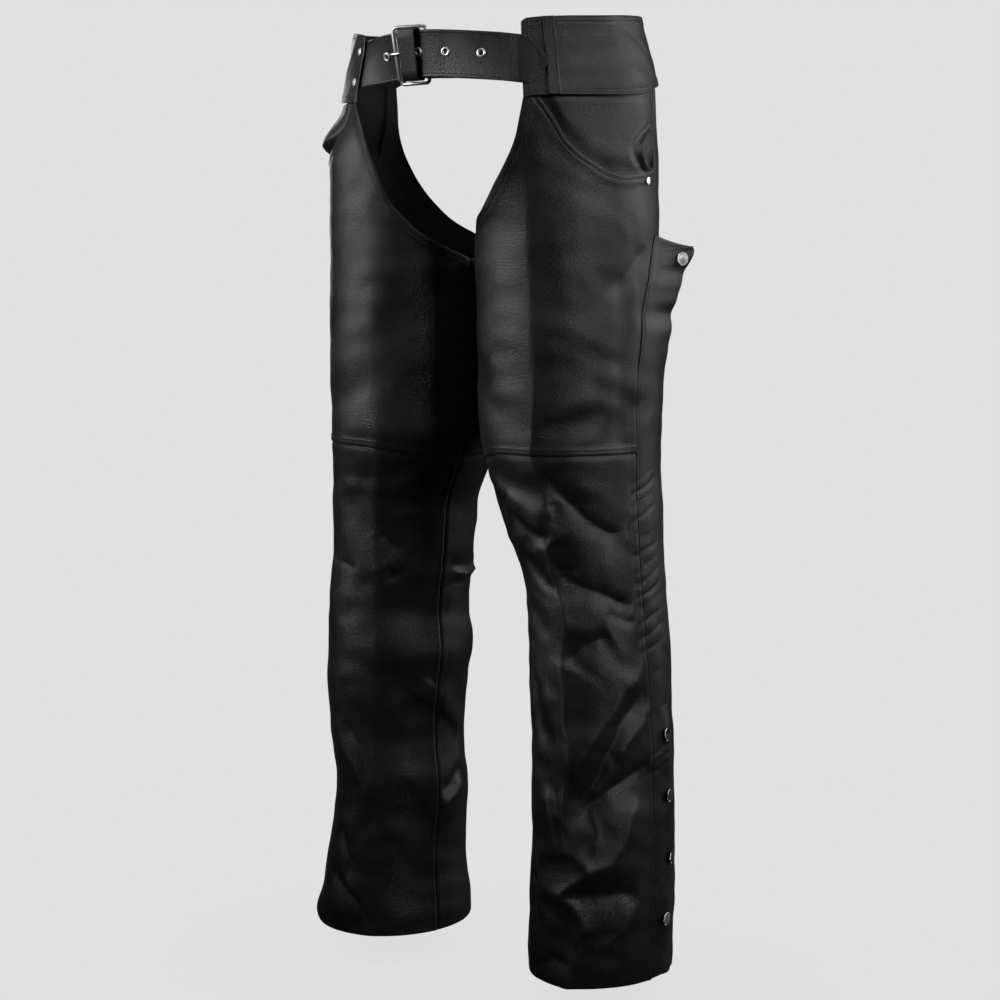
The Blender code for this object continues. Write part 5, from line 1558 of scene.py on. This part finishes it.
SNAP_PLACES = ((97, -0.736), (102, -0.806), (105, -0.878), (97, -0.946))
FLAP_SNAP = (0.80, -0.203)
POCKET_RIVET = {"left": (99, -0.128), "right": (99, -0.115)}
STRAP_RIVET_PLACES = ((35.2, 0.0136), (35.2, -0.0200))
EYELET_ANGLES, HOLE_UP = (-15.5, 1.8, 12.8, 26.1), 0.0022
# How far from its middle each kind rests on what is under it
SNAP_REST, RIVET_REST, EYELET_REST = 0.0073, 0.0042, 0.0048

for side in SIDES:
    flap, thigh = panels[f"zip_flap_{side}"], panels[f"thigh_front_{side}"]

    def on_leg(degrees, height):
        return leg_surface(side, degrees, height)

    def on_flap(across, height):
        return flap_inner(side, across, height)

    for number, spot in enumerate(SNAP_PLACES, 1):
        set_on(flap, snap_cap, f"snap_{number}_{side}", on_leg, side, spot, (3.0, 0.008), SNAP_REST)
    set_on(flap, snap_cap, f"snap_5_{side}", on_flap, side, FLAP_SNAP, (0.05, 0.005), SNAP_REST)
    for number in (4, 5):
        hardware[f"snap_{number}_{side}"].data.materials[0] = nickel
    rivet, spot = f"pocket_rivet_{side}", POCKET_RIVET[side]
    set_on(thigh, rivet_cap, rivet, on_leg, side, spot, (2.0, 0.005), RIVET_REST)


def on_yoke(degrees, height):
    return waist_point("right", degrees, height)


def on_tip(degrees, up):
    return belt_point(degrees, up, tip_lift(degrees))


yoke, strap = panels["yoke_right"], panels["belt_tip_strap"]
for number, spot in enumerate(STRAP_RIVET_PLACES, 1):
    set_on(yoke, rivet_cap, f"strap_rivet_{number}", on_yoke, "right", spot, (1.0, 0.005), RIVET_REST)
for number, degrees in enumerate(EYELET_ANGLES, 1):
    eyelet, spot = f"eyelet_{number}", (degrees, HOLE_UP)
    set_on(strap, eyelet_ring, eyelet, on_tip, "left", spot, (1.0, 0.005), EYELET_REST, gap=0.0001)
for model in (snap_cap, rivet_cap, eyelet_ring):
    bpy.data.objects.remove(model)
print("caps and eyelets:", len(hardware))

# %% [markdown]
# ## The buckle
# A roller buckle is a bent wire frame: its heel bar carries the strap and the prong, and a tube turns on the
# far bar, so that the strap slides over it without wearing. The frame and the prong are round wire, so they
# are curves with a round section. The roller is a tube, made from a cylinder with its ends opened.

# %% Frame and prong
ROLLER_ANGLE, ROLLER_LIFT, ROLLER_RADIUS, ROLLER_HALF = -8.4, 0.0006, 0.0034, 0.0256
FRAME_HALF, FRAME_CORNER, PRONG_RADIUS = 0.0299, 0.0042, 0.0015
PRONG_PATH = (
    (2.0, -0.0038), (0.0, -0.0036), (-1.8, -0.0014), (-3.2, 0.0014), (-4.6, 0.0036), (-6.2, 0.0052),
    (-8.4, 0.0059), (-10.2, 0.0053), (-11.3, 0.0040),
)


def belt_spot(degrees, up, lift):
    return belt_point(np.array([float(degrees)]), np.array([float(up)]), np.array([float(lift)]))[0]


def round_wire(name, points, radius, closed=False, thin=()):
    """A round wire through these points, made a mesh."""
    path = bpy.data.curves.new(name, "CURVE")
    path.dimensions, path.bevel_depth, path.bevel_resolution = "3D", radius, 5
    path.use_fill_caps = not closed
    run = path.splines.new("POLY")
    run.points.add(len(points) - 1)
    for i, point in enumerate(points):
        run.points[i].co = (*point, 1)
        run.points[i].radius = thin[i] if len(thin) else 1.0
    run.use_cyclic_u = closed
    wire = add_object(name, path)
    bpy.ops.object.select_all(action="DESELECT")
    wire.select_set(True)
    bpy.context.view_layer.objects.active = wire
    bpy.ops.object.convert(target="MESH")
    wire = bpy.context.object
    wire.data.materials.append(nickel)
    wire.data.shade_smooth()
    return wire


def along_curve(points, count):
    """Points at even steps on a smooth curve through these."""
    points = np.array(points)
    run = np.concatenate([[0], np.cumsum(np.linalg.norm(np.diff(points, axis=0), axis=1))])
    read = curve(np.column_stack([run, points]))
    return read(np.linspace(0, run[-1], count)).T


def make_frame():
    """The rim goes up the far bar, along the top arm, down the heel bar and back along the lower arm."""
    across = HEEL_BAR_ANGLE - ROLLER_ANGLE
    corner = []
    for step in range(9):
        turn = math.pi / 2 * step / 8
        aside = math.degrees(FRAME_CORNER * (1 - math.cos(turn)) / BELT_RADIUS)
        corner.append((aside, FRAME_HALF - FRAME_CORNER * (1 - math.sin(turn))))
    spots = [(aside, up) for aside, up in corner] + [(across - aside, up) for aside, up in corner[::-1]]
    spots += [(aside, -up) for aside, up in spots[::-1]]
    rim = []
    for aside, up in spots:
        lift = ROLLER_LIFT + (HEEL_BAR_LIFT - ROLLER_LIFT) * aside / across
        rim.append(belt_spot(ROLLER_ANGLE + aside, up, lift))
    return round_wire("buckle_frame_nickel", rim, WIRE_RADIUS, closed=True)


def make_prong():
    eye = WIRE_RADIUS + PRONG_RADIUS + SEAM_GAP
    path = []
    for turn in (235, 195, 155, 115, 75, 40, 10):
        turn = math.radians(turn)
        aside = math.degrees(eye * math.sin(turn) / BELT_RADIUS)
        path.append(belt_spot(HEEL_BAR_ANGLE + aside, HOLE_UP, HEEL_BAR_LIFT + eye * math.cos(turn)))
    path += [belt_spot(degrees, HOLE_UP, lift) for degrees, lift in PRONG_PATH]
    path = along_curve(path, 48)
    thin = [1.0 - 0.25 * max(0.0, (i - 38) / 9) for i in range(48)]
    return round_wire("buckle_prong_nickel", path, PRONG_RADIUS, thin=thin)


hardware["buckle_frame"] = make_frame()
hardware["buckle_prong"] = make_prong()


# %% Roller
def make_roller():
    foot, head = (Vector(belt_spot(ROLLER_ANGLE, up, ROLLER_LIFT)) for up in (-ROLLER_HALF, ROLLER_HALF))
    length = (head - foot).length
    roller = add_primitive(
        "buckle_roller_nickel", bpy.ops.mesh.primitive_cylinder_add,
        vertices=40, radius=ROLLER_RADIUS, depth=length, location=(0, 0, length / 2),
    )
    bpy.ops.object.transform_apply(location=True)

    def end(face):
        return abs(face.normal.z) > 0.9

    edit_faces(roller, end, lambda: bpy.ops.mesh.inset(thickness=0.0010))
    edit_faces(roller, lambda face: end(face) and len(face.verts) > 4, bpy.ops.mesh.bridge_edge_loops)
    round_edges(roller, 0.0004, 3, 50)
    roller.data.transform(frame_at(foot, head - foot, (0, 1, 0)))
    roller.data.materials.append(nickel)
    roller.data.shade_smooth()
    bpy.ops.object.shade_smooth_by_angle(angle=math.radians(40))
    return roller


hardware["buckle_roller"] = make_roller()
print("buckle parts:", sorted(node for node in hardware if node.startswith("buckle")))

# %% [markdown]
# ## Each piece in place of its solid
# Every panel is a sheet of hide with a flat cut. Each panel and metal piece hides the solid that it stands
# for, and all of it rides on the garment's one body.

# %% Each piece rides on the body, and its solid is hidden
for node, piece in panels.items():
    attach(piece, "root")
    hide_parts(node)
for node, piece in hardware.items():
    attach(piece, "root")
    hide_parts(node)
for piece in stitching:
    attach(piece, "root")

# %% Sizes and the end
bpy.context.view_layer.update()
triangles = {
    piece.name: sum(len(face.vertices) - 2 for face in piece.data.polygons)
    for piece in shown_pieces() if piece.type == "MESH"
}
print("triangles in all:", sum(triangles.values()), "most:", max(triangles.items(), key=lambda item: item[1]))
